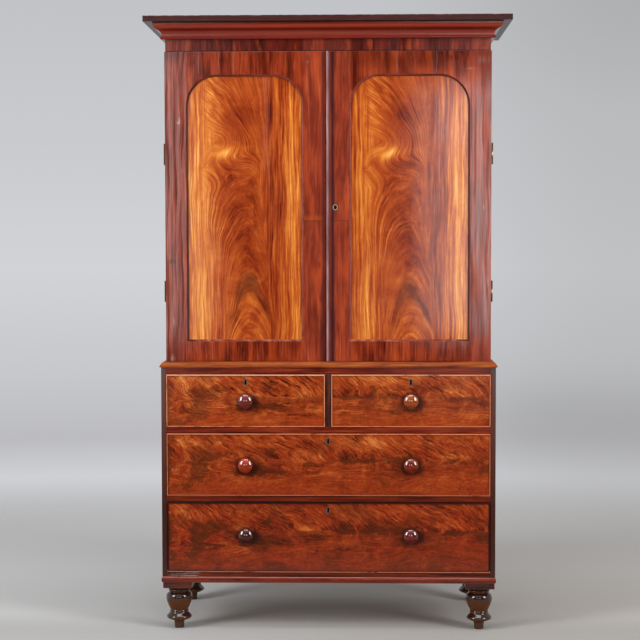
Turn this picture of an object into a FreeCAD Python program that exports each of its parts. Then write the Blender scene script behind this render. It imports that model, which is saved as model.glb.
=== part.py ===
"""Mahogany linen press, as a parametric document.

A chest of four drawers stands on turned feet. A two-door cupboard with four sliding trays
stands on the chest, stepped in behind a waist moulding, and a loose cornice lies on top.
Sizes are in millimetres, +Z is up, the front looks towards -Y, and the origin is on the
floor under the middle of the whole.
"""
import FreeCAD, Part
import math
import os
import Sketcher

SIZES = {
    # Chest
    "case_width": (1180, "chest over its sides"),
    "case_depth": (560, "chest, front to back"),
    "side_thickness": (18, "carcass sides of chest and cupboard"),
    "housing_depth": (6, "how far rails and boards are let into the sides"),
    "back_thickness": (12, "vertical back boards"),
    "back_rebate": (9, "how far the back boards lie over the sides"),
    "foot_height": (151, "floor to the underside of the blocks"),
    "foot_bulb_radius": (46.5, "widest part of a foot"),
    "foot_ring_radius": (45, "ring near the bottom of a foot"),
    "foot_waist_radius": (31, "waist between ring and bulb"),
    "foot_tip_radius": (16, "foot on the floor"),
    "foot_tip_height": (23.5, "tapered tip under the ring"),
    "foot_tip_flare": (7, "how much wider the tip is at its top"),
    "foot_ring_height": (27, "ring near the bottom of a foot"),
    "foot_waist_height": (16, "hollow between ring and bulb"),
    "foot_neck_height": (7, "groove between bulb and collar"),
    "foot_neck_depth": (3, "groove, inside the waist's radius"),
    "foot_collar_height": (13.5, "collar under the block"),
    "foot_collar_radius": (42.5, "collar under the block"),
    "foot_tenon_radius": (14, "tenon in the block"),
    "block_height": (21, "square block over each foot"),
    "block_width": (103, "block, each way"),
    "block_inset": (2, "block behind the chest's faces"),
    "base_height": (21, "base moulding"),
    "base_width": (60, "base moulding, inwards"),
    "base_reach": (3, "base moulding beyond the chest"),
    "bottom_rail_height": (18, "rail under the bottom drawer"),
    "bottom_drawer_height": (250, "opening of the bottom drawer"),
    "middle_drawer_height": (222, "opening of the middle drawer"),
    "short_drawer_height": (186, "openings of the short drawers"),
    "rail_height": (23, "rails between drawers"),
    "top_rail_height": (24, "rail over the short drawers"),
    "rail_depth": (60, "front rails, front to back"),
    "rail_face": (12, "rail in front of its housing"),
    "divider_thickness": (22, "between the short drawers"),
    "runner_width": (40, "drawer runners"),
    "dust_board_thickness": (8, "between drawers"),
    "top_board_thickness": (18, "chest top, under the cupboard"),
    "waist_height": (20, "waist moulding"),
    "waist_reach": (5, "waist moulding beyond the chest"),
    "waist_nose": (4, "upright edge of the waist moulding"),
    "waist_run": (14.3, "rounded shoulder of the waist moulding, across"),
    "waist_round": (26, "radius of that shoulder"),
    "waist_play": (0.5, "cupboard between the waist mouldings"),
    # Drawers
    "drawer_side_play": (1, "drawer to the opening's sides"),
    "drawer_seat": (0.3, "drawer over its rail"),
    "drawer_top_play": (1.5, "drawer under the rail above"),
    "front_thickness": (22, "drawer front"),
    "drawer_lap": (9, "front left before the dovetails"),
    "drawer_side_thickness": (10, "drawer sides and back"),
    "drawer_back_gap": (33, "drawers before the back boards"),
    "drawer_bottom_rise": (8, "drawer bottom over the sides' lower edge"),
    "drawer_bottom_thickness": (8, "drawer bottom"),
    "drawer_groove": (6, "drawer bottom in its grooves"),
    "drawer_side_drop": (6, "drawer sides below the front's top"),
    "tail_taper": (0.16, "slope of the dovetails"),
    "bead_thickness": (4, "cock bead on the drawer's edge"),
    "bead_depth": (8, "cock bead in the drawer front"),
    "bead_reach": (3, "cock bead proud of the front"),
    "stop_height": (5, "drawer stops"),
    "stop_width": (36, "drawer stops"),
    "knob_radius": (25.5, "drawer knobs"),
    "knob_length": (42, "knob before the drawer front"),
    "knob_dome_height": (9.2, "domed face before the rim"),
    "knob_rim_height": (10.9, "rim of the head"),
    "knob_rim_swell": (1.5, "how far the rim is rounded"),
    "knob_back_height": (9.3, "tapered back of the head"),
    "knob_flare_height": (3.8, "flare from neck to foot"),
    "knob_foot_height": (2.1, "edge of the foot"),
    "knob_neck_radius": (10, "knob behind its head"),
    "knob_foot_radius": (16, "knob on the drawer front"),
    "knob_stem_radius": (7, "stem through the drawer front"),
    "knob_centre": (291.5, "knobs from the middle"),
    "bottom_knob_rise": (9, "bottom drawer's knobs above its middle"),
    "key_drop": (27, "keyhole below the drawer's top"),
    # Locks and bolts
    "escutcheon_width": (13, "drawer escutcheon"),
    "escutcheon_height": (25, "drawer escutcheon"),
    "escutcheon_wall": (3, "metal round the keyhole"),
    "escutcheon_depth": (3, "escutcheon in the wood"),
    "escutcheon_reach": (0.4, "escutcheon proud of the wood"),
    "lock_width": (60, "lock case"),
    "lock_height": (46, "lock case"),
    "lock_depth": (12, "lock case in the wood"),
    "bolt_width": (24, "lock bolt"),
    "bolt_thickness": (6, "lock bolt"),
    "bolt_length": (20, "lock bolt"),
    "bolt_play": (0.3, "bolt in its slot"),
    "mortise_depth": (11, "what a bolt shoots into"),
    "mortise_play": (2, "round a shot bolt"),
    # Cupboard
    "cupboard_inset": (17, "cupboard's sides behind the chest's"),
    "door_inset": (17, "doors behind the chest's front"),
    "door_thickness": (24, "door frames"),
    "door_gap": (1.5, "round and between the doors"),
    "hinge_gap": (1, "doors before the carcass"),
    "door_height": (1086.5, "doors"),
    "stile_width": (75.5, "door stiles"),
    "lock_stile_width": (83.5, "right door's meeting stile"),
    "lock_stile_edge": (8, "right door beyond the middle"),
    "top_rail_width": (80, "door's top rail over the arch"),
    "bottom_rail_width": (70, "door's bottom rail"),
    "corner_radius": (108, "round top corners of the panels"),
    "groove_depth": (8, "panel in its frame"),
    "panel_thickness": (8, "door panel"),
    "panel_inset": (8, "panel behind the door's face"),
    "tenon_length": (20, "door rails in the stiles"),
    "tenon_shoulder": (10, "door rails beside their tenons"),
    "panel_bead": (6, "bead round the panel"),
    "panel_bead_rise": (6, "bead before the panel"),
    "panel_bead_round": (4.5, "bead's edge towards the panel"),
    "astragal_width": (16, "moulding at the meeting stile"),
    "astragal_fillet": (2, "flat ground of the astragal"),
    "astragal_rise": (8, "astragal before the door"),
    "door_lock_rise": (541.5, "door lock above the door's foot"),
    "door_key_centre": (34, "door keyhole from the door's edge"),
    "oval_width": (21, "door escutcheon"),
    "oval_height": (17, "door escutcheon"),
    "oval_wall": (5, "metal round the door's keyhole"),
    "slip_bolt_centre": (21.5, "slip bolts from the left door's edge"),
    "slip_bolt_width": (8, "slip bolts"),
    "slip_bolt_thickness": (5, "slip bolts"),
    "slip_bolt_length": (120, "slip bolts"),
    "slip_bolt_travel": (12, "slip bolts"),
    "slip_bolt_setback": (0.3, "drawn slip bolt inside the door's edge"),
    "slip_plate_start": (12, "guide plate from the door's edge"),
    "slip_plate_end": (114, "guide plate from the door's edge"),
    "slip_plate_width": (24, "guide plate over a slip bolt"),
    "slip_plate_thickness": (1.2, "guide plate over a slip bolt"),
    "thumb_centre": (72, "slip bolt's thumb piece from its tip"),
    "thumb_root": (1, "thumb piece in the bolt"),
    "thumb_radius": (4, "slip bolt's thumb piece"),
    "thumb_reach": (5, "slip bolt's thumb piece"),
    "hinge_height": (75, "butt hinges"),
    "low_hinge_rise": (245.5, "lower hinge above the door's foot"),
    "high_hinge_rise": (729.5, "upper hinge above the door's foot"),
    "leaf_thickness": (2, "hinge leaves"),
    "leaf_width": (15, "hinge leaf in the wood"),
    "leaf_inset": (0.2, "hinge leaf inside the cupboard's side"),
    "knuckle_web": (1, "what joins a knuckle to its leaf"),
    "knuckle_radius": (3.5, "hinge knuckles"),
    "knuckle_clearance": (0.4, "knuckles beside the cupboard"),
    "knuckle_gap": (0.3, "between knuckles"),
    "pin_radius": (1.7, "hinge pins"),
    "pin_play": (0.05, "pin in its knuckles"),
    "carcass_board": (18, "cupboard's top and bottom"),
    "tray_play": (1.5, "trays between the sides"),
    "tray_setback": (18, "trays behind the carcass front"),
    "tray_back_gap": (8, "trays before the back boards"),
    "tray_height": (90, "tray sides and back"),
    "tray_front_height": (64, "tray fronts at their ends"),
    "tray_front_dip": (20, "how far the tray fronts are cut down"),
    "tray_front_shoulder": (298, "that cut, from the middle"),
    "tray_wall": (12, "tray sides, front and back"),
    "tray_bottom": (8, "tray bottoms"),
    "runner_height": (16, "tray runners"),
    "tray_runner_width": (20, "tray runners"),
    # Cornice
    "frieze_inset": (3, "frieze behind the doors and sides"),
    "frieze_height": (40.5, "frieze"),
    "frieze_thickness": (22, "frieze and the frame behind the cornice"),
    "cornice_height": (76, "cornice moulding"),
    "cornice_reach": (70, "cornice beyond the frieze"),
    "fascia_height": (20, "square top member"),
    "ovolo_reach": (40.5, "ovolo beyond the frieze"),
    "cornice_bead": (5.5, "radius of the lowest bead"),
    "cornice_neck": (5, "flat over the lowest bead"),
    "cornice_shadow": (6, "flat under the square top member"),
    "ogee_radius": (23.8, "both curves of the ogee"),
    "cornice_top_board": (8, "boards that close the top"),
}

BACK_BOARDS = 5
TRAYS = 4
KNUCKLES = 3
CORNICE_TOP_BOARDS = 3
TOOL_MARGIN = 1.0  # how far a cutting solid stands out of what it cuts
TAIL_SHARE = 0.34  # half a dovetail's tip, as a share of the pitch
LEAST_CUT = 1e-6  # volume that counts as cut away


class Length:
    """A size kept both as its number and as the sheet formula that gives the number."""

    def __init__(self, value, formula):
        self.value = value
        self.formula = formula

    def _joined(self, other, sign, value):
        """The result of an operation, with its formula."""
        return Length(value, f"({self.formula} {sign} {other.formula})")

    def __add__(self, other):
        other = as_length(other)
        return self._joined(other, "+", self.value + other.value)

    def __sub__(self, other):
        other = as_length(other)
        return self._joined(other, "-", self.value - other.value)

    def __mul__(self, other):
        other = as_length(other)
        return self._joined(other, "*", self.value * other.value)

    def __truediv__(self, other):
        other = as_length(other)
        return self._joined(other, "/", self.value / other.value)

    def __neg__(self):
        return self * -1

    def __radd__(self, other):
        return as_length(other) + self

    def __rsub__(self, other):
        return as_length(other) - self

    def __rmul__(self, other):
        return as_length(other) * self


def as_length(value):
    """A plain number as a Length; a Length as it is."""
    return value if isinstance(value, Length) else Length(float(value), f"({float(value)!r})")


class SizeSheet:
    """The driving dimensions: one aliased spreadsheet cell each, read as attributes."""

    def __init__(self, document, table):
        sheet = document.addObject("Spreadsheet::Sheet", "Sizes")
        for row, (alias, (value, note)) in enumerate(table.items(), start=1):
            sheet.set(f"A{row}", note)
            sheet.set(f"B{row}", str(value))
            sheet.setAlias(f"B{row}", alias)
        document.recompute()
        self._values = {alias: float(value) for alias, (value, note) in table.items()}

    def __getattr__(self, alias):
        return Length(self._values[alias], f"Sizes.{alias}")


doc = FreeCAD.newDocument("linen_press")
s = SizeSheet(doc, SIZES)
nodes = {}

# Levels above the floor, from the feet up.
block_low = s.foot_height
base_low = block_low + s.block_height
chest_low = base_low + s.base_height
bottom_opening = (chest_low + s.bottom_rail_height,
                  chest_low + s.bottom_rail_height + s.bottom_drawer_height)
middle_opening = (bottom_opening[1] + s.rail_height,
                  bottom_opening[1] + s.rail_height + s.middle_drawer_height)
short_opening = (middle_opening[1] + s.rail_height,
                 middle_opening[1] + s.rail_height + s.short_drawer_height)
chest_high = short_opening[1] + s.top_rail_height
waist_high = chest_high + s.waist_height
door_low = waist_high + s.door_gap
door_high = door_low + s.door_height
cupboard_high = door_high + s.door_gap
frieze_high = cupboard_high + s.frieze_height
top = frieze_high + s.cornice_height

# Planes across, from the middle out.
chest_half = s.case_width / 2
chest_inner = chest_half - s.side_thickness
cupboard_half = chest_half - s.cupboard_inset
cupboard_inner = cupboard_half - s.side_thickness
frieze_half = cupboard_half - s.frieze_inset

# Planes from front to back. The cornice reaches furthest forward.
front = (s.cornice_reach - s.door_inset - s.frieze_inset - s.case_depth) / 2
back = front + s.case_depth
back_inner = back - s.back_thickness
door_front = front + s.door_inset
door_back = door_front + s.door_thickness
cupboard_front = door_back + s.hinge_gap
frieze_front = door_front + s.frieze_inset
rail_back = front + s.rail_depth
pin_x = cupboard_half + s.knuckle_radius + s.knuckle_clearance
pin_y = door_back + s.hinge_gap / 2


# ---------------------------------------------------------------- drawing tools

class Arc:
    """Marks the side that leaves a corner as an arc, anticlockwise if turn is 1.

    It is given by its radius, or by its centre, which is then worked out from the sizes.
    """

    def __init__(self, turn, radius=None, centre=None):
        self.turn = turn
        self.radius = radius
        self.centre = centre

    def flipped(self, flip_point):
        """The arc as its mirror image shows it."""
        centre = flip_point(self.centre) if self.centre else None
        return Arc(-self.turn, self.radius, centre)

    def centre_between(self, start, end):
        """The arc's centre as a vector, for geometry drawn from start to end."""
        if self.centre:
            return FreeCAD.Vector(self.centre[0].value, self.centre[1].value, 0)
        chord = end - start
        rise = math.sqrt(self.radius.value ** 2 - (chord.Length / 2) ** 2)
        normal = FreeCAD.Vector(-chord.y, chord.x, 0).normalize()
        return (start + end) / 2 + normal * rise * self.turn


class Outline:
    """A closed run of straight sides and arcs. Each corner is (x, y) or (x, y, Arc)."""

    def __init__(self, *corners):
        self.corners = [(as_length(c[0]), as_length(c[1])) for c in corners]
        self.arcs = [c[2] if len(c) > 2 else None for c in corners]

    def placed(self, origin, sign):
        """The same outline with x measured from origin, towards sign."""
        def move(point):
            return (origin + sign * point[0], point[1])
        arcs = self.arcs
        if sign < 0:
            arcs = [arc.flipped(move) if arc else None for arc in arcs]
        elif any(arc and arc.centre for arc in arcs):
            arcs = [Arc(arc.turn, arc.radius, move(arc.centre) if arc.centre else None)
                    if arc else None for arc in arcs]
        result = Outline(*[move(corner) for corner in self.corners])
        result.arcs = arcs
        return result

    def draw(self, sketch):
        """Add the outline to a sketch, fully constrained to the sheet."""
        points = [FreeCAD.Vector(x.value, y.value, 0) for x, y in self.corners]
        ends = []
        for index, arc in enumerate(self.arcs):
            start, end = points[index], points[(index + 1) % len(points)]
            if arc is None:
                ends.append((sketch.addGeometry(Part.LineSegment(start, end), False), 1, 2))
                continue
            centre = arc.centre_between(start, end)
            circle = Part.Circle(centre, FreeCAD.Vector(0, 0, 1), (start - centre).Length)
            first, last = (start, end) if arc.turn > 0 else (end, start)
            piece = Part.ArcOfCircle(circle, angle_of(first - centre), angle_of(last - centre))
            positions = (1, 2) if arc.turn > 0 else (2, 1)
            ends.append((sketch.addGeometry(piece, False), *positions))
        for index, (geometry, start, end) in enumerate(ends):
            following, next_start = ends[(index + 1) % len(ends)][:2]
            sketch.addConstraint(
                Sketcher.Constraint("Coincident", geometry, end, following, next_start))
            fix_point(sketch, geometry, start, self.corners[index])
            arc = self.arcs[index]
            if arc and arc.radius:
                bind_constraint(sketch, Sketcher.Constraint(
                    "Radius", geometry, arc.radius.value), arc.radius)
            elif arc:
                fix_centre(sketch, geometry, arc, points[index],
                           points[(index + 1) % len(points)])


class Ring:
    """A full circle in a sketch."""

    def __init__(self, x, y, radius):
        self.centre = (as_length(x), as_length(y))
        self.radius = radius

    def draw(self, sketch):
        """Add the circle to a sketch, fully constrained to the sheet."""
        centre = FreeCAD.Vector(self.centre[0].value, self.centre[1].value, 0)
        circle = Part.Circle(centre, FreeCAD.Vector(0, 0, 1), self.radius.value)
        geometry = sketch.addGeometry(circle, False)
        fix_point(sketch, geometry, 3, self.centre)
        bind_constraint(sketch, Sketcher.Constraint(
            "Radius", geometry, self.radius.value), self.radius)


def angle_of(vector):
    """A vector's direction in the sketch."""
    return math.atan2(vector.y, vector.x)


def bind_constraint(sketch, constraint, size):
    """Add a constraint whose value follows a size."""
    index = sketch.addConstraint(constraint)
    sketch.setExpression(f"Constraints[{index}]", size.formula)


def fix_point(sketch, geometry, position, point):
    """Hold one point of a piece of geometry at a place given by two sizes."""
    for kind, size in zip(("DistanceX", "DistanceY"), point):
        bind_constraint(sketch, Sketcher.Constraint(
            kind, -1, 1, geometry, position, size.value), size)


def fix_centre(sketch, geometry, arc, start, end):
    """Hold an arc's centre by the coordinate that its chord leaves free."""
    chord = end - start
    if abs(chord.y) >= abs(chord.x):
        kind, size = "DistanceX", arc.centre[0]
    else:
        kind, size = "DistanceY", arc.centre[1]
    bind_constraint(sketch, Sketcher.Constraint(kind, -1, 1, geometry, 3, size.value), size)


def rectangle(x, y):
    """Outline between two pairs of limits."""
    return Outline((x[0], y[0]), (x[1], y[0]), (x[1], y[1]), (x[0], y[1]))


# A sketch plane's role, and whether its normal points along its positive axis.
PLANES = {"XY": ("XY_Plane", True), "XZ": ("XZ_Plane", False), "YZ": ("YZ_Plane", True)}


def new_sketch(body, plane, level, outlines):
    """A sketch in world coordinates on one of the body's planes, at a level along its axis."""
    role, forward = PLANES[plane]
    sketch = body.newObject("Sketcher::SketchObject", body.Label + "_sketch")
    support = next(f for f in body.Origin.OriginFeatures if f.Role == role)
    sketch.AttachmentSupport = [(support, "")]
    sketch.MapMode = "FlatFace"
    offset = level if forward else -level
    sketch.setExpression("AttachmentOffset.Base.z", offset.formula)
    for outline in outlines:
        outline.draw(sketch)
    return sketch


def pad(body, plane, limits, *outlines):
    """Add the outlines as solid, between two levels along the plane's axis."""
    feature = body.newObject("PartDesign::Pad", body.Label + "_pad")
    feature.Profile = new_sketch(body, plane, limits[0], outlines)
    feature.setExpression("Length", (limits[1] - limits[0]).formula)
    feature.Reversed = not PLANES[plane][1]
    return body


def pocket(body, plane, limits, *outlines):
    """Cut the outlines away between two levels along the plane's axis."""
    feature = body.newObject("PartDesign::Pocket", body.Label + "_pocket")
    feature.Profile = new_sketch(body, plane, limits[0], outlines)
    feature.setExpression("Length", (limits[1] - limits[0]).formula)
    feature.Reversed = PLANES[plane][1]
    return body


def new_body(name):
    """An empty body."""
    body = doc.addObject("PartDesign::Body", name)
    body.Label = name
    return body


def turned(name, plane, outline, place):
    """A body turned about its own upright sketch axis, at a place in the object."""
    body = new_body(name)
    feature = body.newObject("PartDesign::Revolution", name + "_turning")
    sketch = new_sketch(body, plane, as_length(0), [outline])
    feature.Profile = sketch
    feature.ReferenceAxis = (sketch, ["V_Axis"])
    feature.Angle = 360
    for axis, size in zip("xyz", place):
        body.setExpression(f"Placement.Base.{axis}", as_length(size).formula)
    return body


def board(name, x, y, z):
    """A square-edged board between three pairs of limits."""
    box = doc.addObject("Part::Box", name)
    box.Label = name
    for side, axis, limits in zip(("Length", "Width", "Height"), "xyz", (x, y, z)):
        low, high = as_length(limits[0]), as_length(limits[1])
        box.setExpression(side, (high - low).formula)
        box.setExpression(f"Placement.Base.{axis}", low.formula)
    return box


def rod(name, radius, x, y, z):
    """An upright round rod; z is a pair of limits."""
    cylinder = doc.addObject("Part::Cylinder", name)
    cylinder.Label = name
    cylinder.setExpression("Radius", radius.formula)
    cylinder.setExpression("Height", (z[1] - z[0]).formula)
    for axis, size in zip("xyz", (x, y, z[0])):
        cylinder.setExpression(f"Placement.Base.{axis}", as_length(size).formula)
    return cylinder


def cut(piece, *tools):
    """The piece with each tool's room taken out of it."""
    for tool in tools:
        result = doc.addObject("Part::Cut", piece.Label + "_cut")
        result.Base = piece
        result.Tool = tool
        piece = result
    return piece


def node(name, *pieces):
    """File one piece, or a group of separate pieces, under the node's name."""
    if len(pieces) == 1:
        kept = pieces[0]
    else:
        kept = doc.addObject("Part::Compound", name)
        kept.Links = list(pieces)
    kept.Label = name
    nodes[name] = kept
    return kept


def across(side, inner, outer):
    """Limits in x of what lies between two distances from the middle, on one side."""
    return (as_length(inner), outer) if side > 0 else (-outer, -as_length(inner))


def between(centre, width):
    """Limits of a width about its centre."""
    return (centre - width / 2, centre + width / 2)


def grown(limits, play):
    """Limits moved apart by a play at each end."""
    return (limits[0] - play, limits[1] + play)


SIDES = {-1: "left", 1: "right"}


# ---------------------------------------------------------------- mouldings

def mitred_mouldings(name, profile, mount_half, mount_front, reach, widths, levels):
    """A front moulding and its two returns, mitred at the front corners.

    profile is an outline of (outwards, upwards), the first measured from the mounting
    planes at mount_half and mount_front. widths are those of the front and of a return.
    """
    front_profile, return_profile = profile
    front_width, return_width = widths
    corner_x = mount_half + reach
    corner_y = mount_front - reach
    through = grown(levels, TOOL_MARGIN)
    length = new_body(name + "_front")
    pad(length, "YZ", (-corner_x, corner_x), front_profile.placed(mount_front, -1))
    for side in SIDES:
        far = side * (corner_x + TOOL_MARGIN)
        pocket(length, "XY", through, Outline(
            (far, corner_y - TOOL_MARGIN),
            (side * (corner_x - return_width), corner_y + return_width),
            (side * (corner_x - return_width), corner_y + front_width + TOOL_MARGIN),
            (far, corner_y + front_width + TOOL_MARGIN)))
    pieces = [length]
    for side, word in SIDES.items():
        piece = new_body(f"{name}_{word}")
        pad(piece, "XZ", (corner_y, back), return_profile.placed(side * mount_half, side))
        inside = side * (corner_x - return_width - TOOL_MARGIN)
        pocket(piece, "XY", through, Outline(
            (side * (corner_x + TOOL_MARGIN), corner_y - TOOL_MARGIN),
            (inside, corner_y + return_width + TOOL_MARGIN),
            (inside, corner_y - TOOL_MARGIN)))
        pieces.append(piece)
    return pieces


def build_cornice():
    """The cornice box: frieze, pine frame and three mitred lengths of moulding."""
    inner = frieze_half - s.frieze_thickness
    ground = frieze_front + s.frieze_thickness
    board_low = top - s.cornice_top_board
    bead = s.cornice_bead
    bead_middle = frieze_high + bead
    fascia_low = top - s.fascia_height
    neck_reach = bead * 2
    neck_high = bead_middle + bead + s.cornice_neck
    ogee_high = fascia_low - s.cornice_shadow
    turn = ((neck_reach + s.ovolo_reach) / 2, (neck_high + ogee_high) / 2)
    curve = s.ogee_radius
    profile = Outline(
        (0, frieze_high), (neck_reach, frieze_high, Arc(1, centre=(neck_reach, bead_middle))),
        (neck_reach, bead_middle + bead), (neck_reach, neck_high, Arc(-1, radius=curve)),
        (*turn, Arc(1, radius=curve)), (s.ovolo_reach, ogee_high),
        (s.ovolo_reach, fascia_low), (s.cornice_reach, fascia_low), (s.cornice_reach, top),
        (0, top))
    node("cornice_moulding", *mitred_mouldings(
        "cornice_moulding", (profile, profile), frieze_half, frieze_front, s.cornice_reach,
        (s.cornice_reach, s.cornice_reach), (frieze_high, top)))

    bolt_room = slip_bolt_mortise(cupboard_high, cupboard_high + s.mortise_depth)
    frieze_front_board = board("frieze_front", (-frieze_half, frieze_half),
                               (frieze_front, ground), (cupboard_high, frieze_high))
    frieze = [cut(frieze_front_board, bolt_room)]
    frame = [board("cornice_frame_front", (-frieze_half, frieze_half),
                   (frieze_front, ground), (frieze_high, board_low))]
    for side, word in SIDES.items():
        limits = across(side, inner, frieze_half)
        frieze.append(board(f"frieze_{word}", limits, (ground, back),
                            (cupboard_high, frieze_high)))
        frame.append(board(f"cornice_frame_{word}", limits, (ground, back),
                           (frieze_high, board_low)))
    frame.append(board("cornice_frame_back", (-inner, inner),
                       (back - s.frieze_thickness, back), (cupboard_high, board_low)))
    step = (back - frieze_front) / CORNICE_TOP_BOARDS
    for index in range(CORNICE_TOP_BOARDS):
        frame.append(board(f"cornice_top_board_{index + 1}", (-frieze_half, frieze_half),
                           (frieze_front + step * index, frieze_front + step * (index + 1)),
                           (board_low, top)))
    node("cornice_frieze", *frieze)
    node("cornice_frame", *frame)


# ---------------------------------------------------------------- chest

def housed_board(name, y, z):
    """A board across the chest, let into both sides."""
    reach = chest_inner + s.housing_depth
    return board(name, (-reach, reach), y, z)


def housed_rail(name, z):
    """A front rail whose housings are stopped short of its face."""
    reach = chest_inner + s.housing_depth
    face = front + s.rail_face
    rail = new_body(name)
    return pad(rail, "XY", z, Outline(
        (-chest_inner, front), (chest_inner, front), (chest_inner, face), (reach, face),
        (reach, rail_back), (-reach, rail_back), (-reach, face), (-chest_inner, face)))


def back_boards(name, half, z):
    """Vertical boards side by side, which close a carcass's back."""
    reach = half - s.side_thickness + s.back_rebate
    step = reach * 2 / BACK_BOARDS
    return [board(f"{name}_{index + 1}", (step * index - reach, step * (index + 1) - reach),
                  (back_inner, back), z) for index in range(BACK_BOARDS)]


def build_chest_carcass():
    """Sides, boards, rails, divider, runners, dust boards and stops."""
    rails = {
        "bottom": housed_rail("bottom_rail", (chest_low, bottom_opening[0])),
        "low": housed_rail("low_rail", (bottom_opening[1], middle_opening[0])),
        "high": housed_rail("high_rail", (middle_opening[1], short_opening[0])),
        "top": housed_rail("top_rail", (short_opening[1], chest_high)),
    }
    bottom_board = housed_board("lower_bottom_board", (rail_back, back_inner),
                                (chest_low, bottom_opening[0]))
    top_board = housed_board("lower_top_board", (rail_back, back_inner),
                             (chest_high - s.top_board_thickness, chest_high))
    backs = back_boards("lower_back_board", chest_half, (chest_low, chest_high))
    reach = chest_inner + s.back_rebate
    rebate = board("lower_back_rebate", (-reach, reach), (back_inner, back),
                   (chest_low, chest_high))
    divider_half = s.divider_thickness / 2
    divider = board("drawer_divider", (-divider_half, divider_half), (front, back_inner),
                    short_opening)

    middle_runner_half = s.runner_width
    levels = {"low": (bottom_opening[1], middle_opening[0]),
              "high": (middle_opening[1], short_opening[0])}
    runners, dust_boards = [], []
    for level, limits in levels.items():
        dust_z = between((limits[0] + limits[1]) / 2, s.dust_board_thickness)
        inner = chest_inner - s.runner_width
        spans = [(-inner, inner)]
        if level == "high":
            spans = [across(side, middle_runner_half, inner) for side in SIDES]
        sheets = [board(f"dust_board_{level}_{index + 1}", grown(span, s.housing_depth),
                        (rail_back - s.housing_depth, back_inner), dust_z)
                  for index, span in enumerate(spans)]
        dust_boards += sheets
        rails[level] = cut(rails[level], *sheets)
        for side, word in SIDES.items():
            blank = board(f"drawer_runner_{level}_{word}", across(side, inner, chest_inner),
                          (rail_back, back_inner), limits)
            runners.append(cut(blank, sheets[0] if side < 0 else sheets[-1]))
        if level == "high":
            blank = board("drawer_runner_middle", (-middle_runner_half, middle_runner_half),
                          (rail_back, back_inner), limits)
            runners.append(cut(blank, *sheets))

    rails["low"] = cut(rails["low"], lock_mortise("low", 0, bottom_opening[1]))
    rails["high"] = cut(rails["high"], lock_mortise("high", 0, middle_opening[1]))
    for side, word in SIDES.items():
        rails["top"] = cut(rails["top"], lock_mortise(
            f"top_{word}", side * s.knob_centre, short_opening[1]))

    sides = []
    for side, word in SIDES.items():
        blank = board(f"lower_side_{word}", across(side, chest_inner, chest_half),
                      (front, back), (chest_low, chest_high))
        sides.append(cut(blank, rails["bottom"], rails["low"], rails["high"], rails["top"],
                         bottom_board, top_board, rebate))

    stops = []
    stop_front = front + s.front_thickness + s.drawer_seat
    quarter = chest_half / 4
    for name, level, centre in (("bottom", bottom_opening[0], quarter * 2),
                                ("middle", middle_opening[0], quarter * 2),
                                ("short_outer", short_opening[0], quarter * 3),
                                ("short_inner", short_opening[0], quarter)):
        for side, word in SIDES.items():
            stops.append(board(f"stop_{name}_{word}", between(side * centre, s.stop_width),
                               (stop_front, rail_back - s.housing_depth),
                               (level, level + s.stop_height)))

    node("lower_sides", *sides)
    node("lower_top_board", top_board)
    node("drawer_rails", *rails.values())
    node("drawer_divider", divider)
    node("drawer_runners", *runners)
    node("dust_boards", *dust_boards)
    node("lower_bottom_board", bottom_board)
    node("lower_back_boards", *backs)
    node("drawer_stops", *stops)


def lock_mortise(name, x, level):
    """Room in a rail's underside for a shot drawer bolt."""
    y = grown(drawer_bolt_y(), s.mortise_play)
    return board(f"lock_mortise_{name}",
                 grown(between(as_length(x), s.bolt_width), s.mortise_play), y,
                 (level - TOOL_MARGIN, level + s.mortise_depth))


def build_waist():
    """Three lengths that frame the cupboard's foot; the doors pass over the front one."""
    flat = chest_high + s.waist_height
    front_back = -(cupboard_front - front)
    return_back = -(chest_half - cupboard_half - s.waist_play)

    def profile(inner):
        return Outline(
            (inner, chest_high), (s.waist_reach, chest_high),
            (s.waist_reach, chest_high + s.waist_nose, Arc(1, radius=s.waist_round)),
            (s.waist_reach - s.waist_run, flat), (inner, flat))

    pieces = mitred_mouldings(
        "waist_moulding", (profile(front_back), profile(return_back)), chest_half, front,
        s.waist_reach, (s.waist_reach - front_back, s.waist_reach - return_back),
        (chest_high, flat))
    room = slip_bolt_mortise(waist_high - s.mortise_depth, waist_high)
    node("waist_moulding", cut(pieces[0], room), *pieces[1:])


def build_base():
    """Base moulding, blocks and turned feet."""
    swell = s.base_reach
    bow = (s.base_height * s.base_height / 4 + swell * swell) / (swell * 2)
    inner = s.base_reach - s.base_width
    profile = Outline((inner, base_low), (0, base_low, Arc(1, radius=bow)),
                      (0, chest_low), (inner, chest_low))
    node("base_moulding", *mitred_mouldings(
        "base_moulding", (profile, profile), chest_half, front, s.base_reach,
        (s.base_width, s.base_width), (base_low, chest_low)))

    blocks, feet = [], []
    x_limits = (chest_half - s.block_inset - s.block_width, chest_half - s.block_inset)
    rows = {"front": (front + s.block_inset, front + s.block_inset + s.block_width),
            "back": (back - s.block_inset - s.block_width, back - s.block_inset)}
    tenon = (block_low, base_low)
    for row, y_limits in rows.items():
        for side, word in SIDES.items():
            name = f"{row}_{word}"
            centre = (side * (x_limits[0] + x_limits[1]) / 2, (y_limits[0] + y_limits[1]) / 2)
            bore = rod(f"foot_bore_{name}", s.foot_tenon_radius, *centre,
                       (tenon[0] - TOOL_MARGIN, tenon[1] + TOOL_MARGIN))
            blocks.append(cut(board(f"foot_block_{name}", across(side, *x_limits), y_limits,
                                    (block_low, base_low)), bore))
            feet.append(turned(f"foot_{name}", "XZ", foot_outline(), (*centre, 0)))
    node("foot_blocks", *blocks)
    node("feet", *feet)


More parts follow.
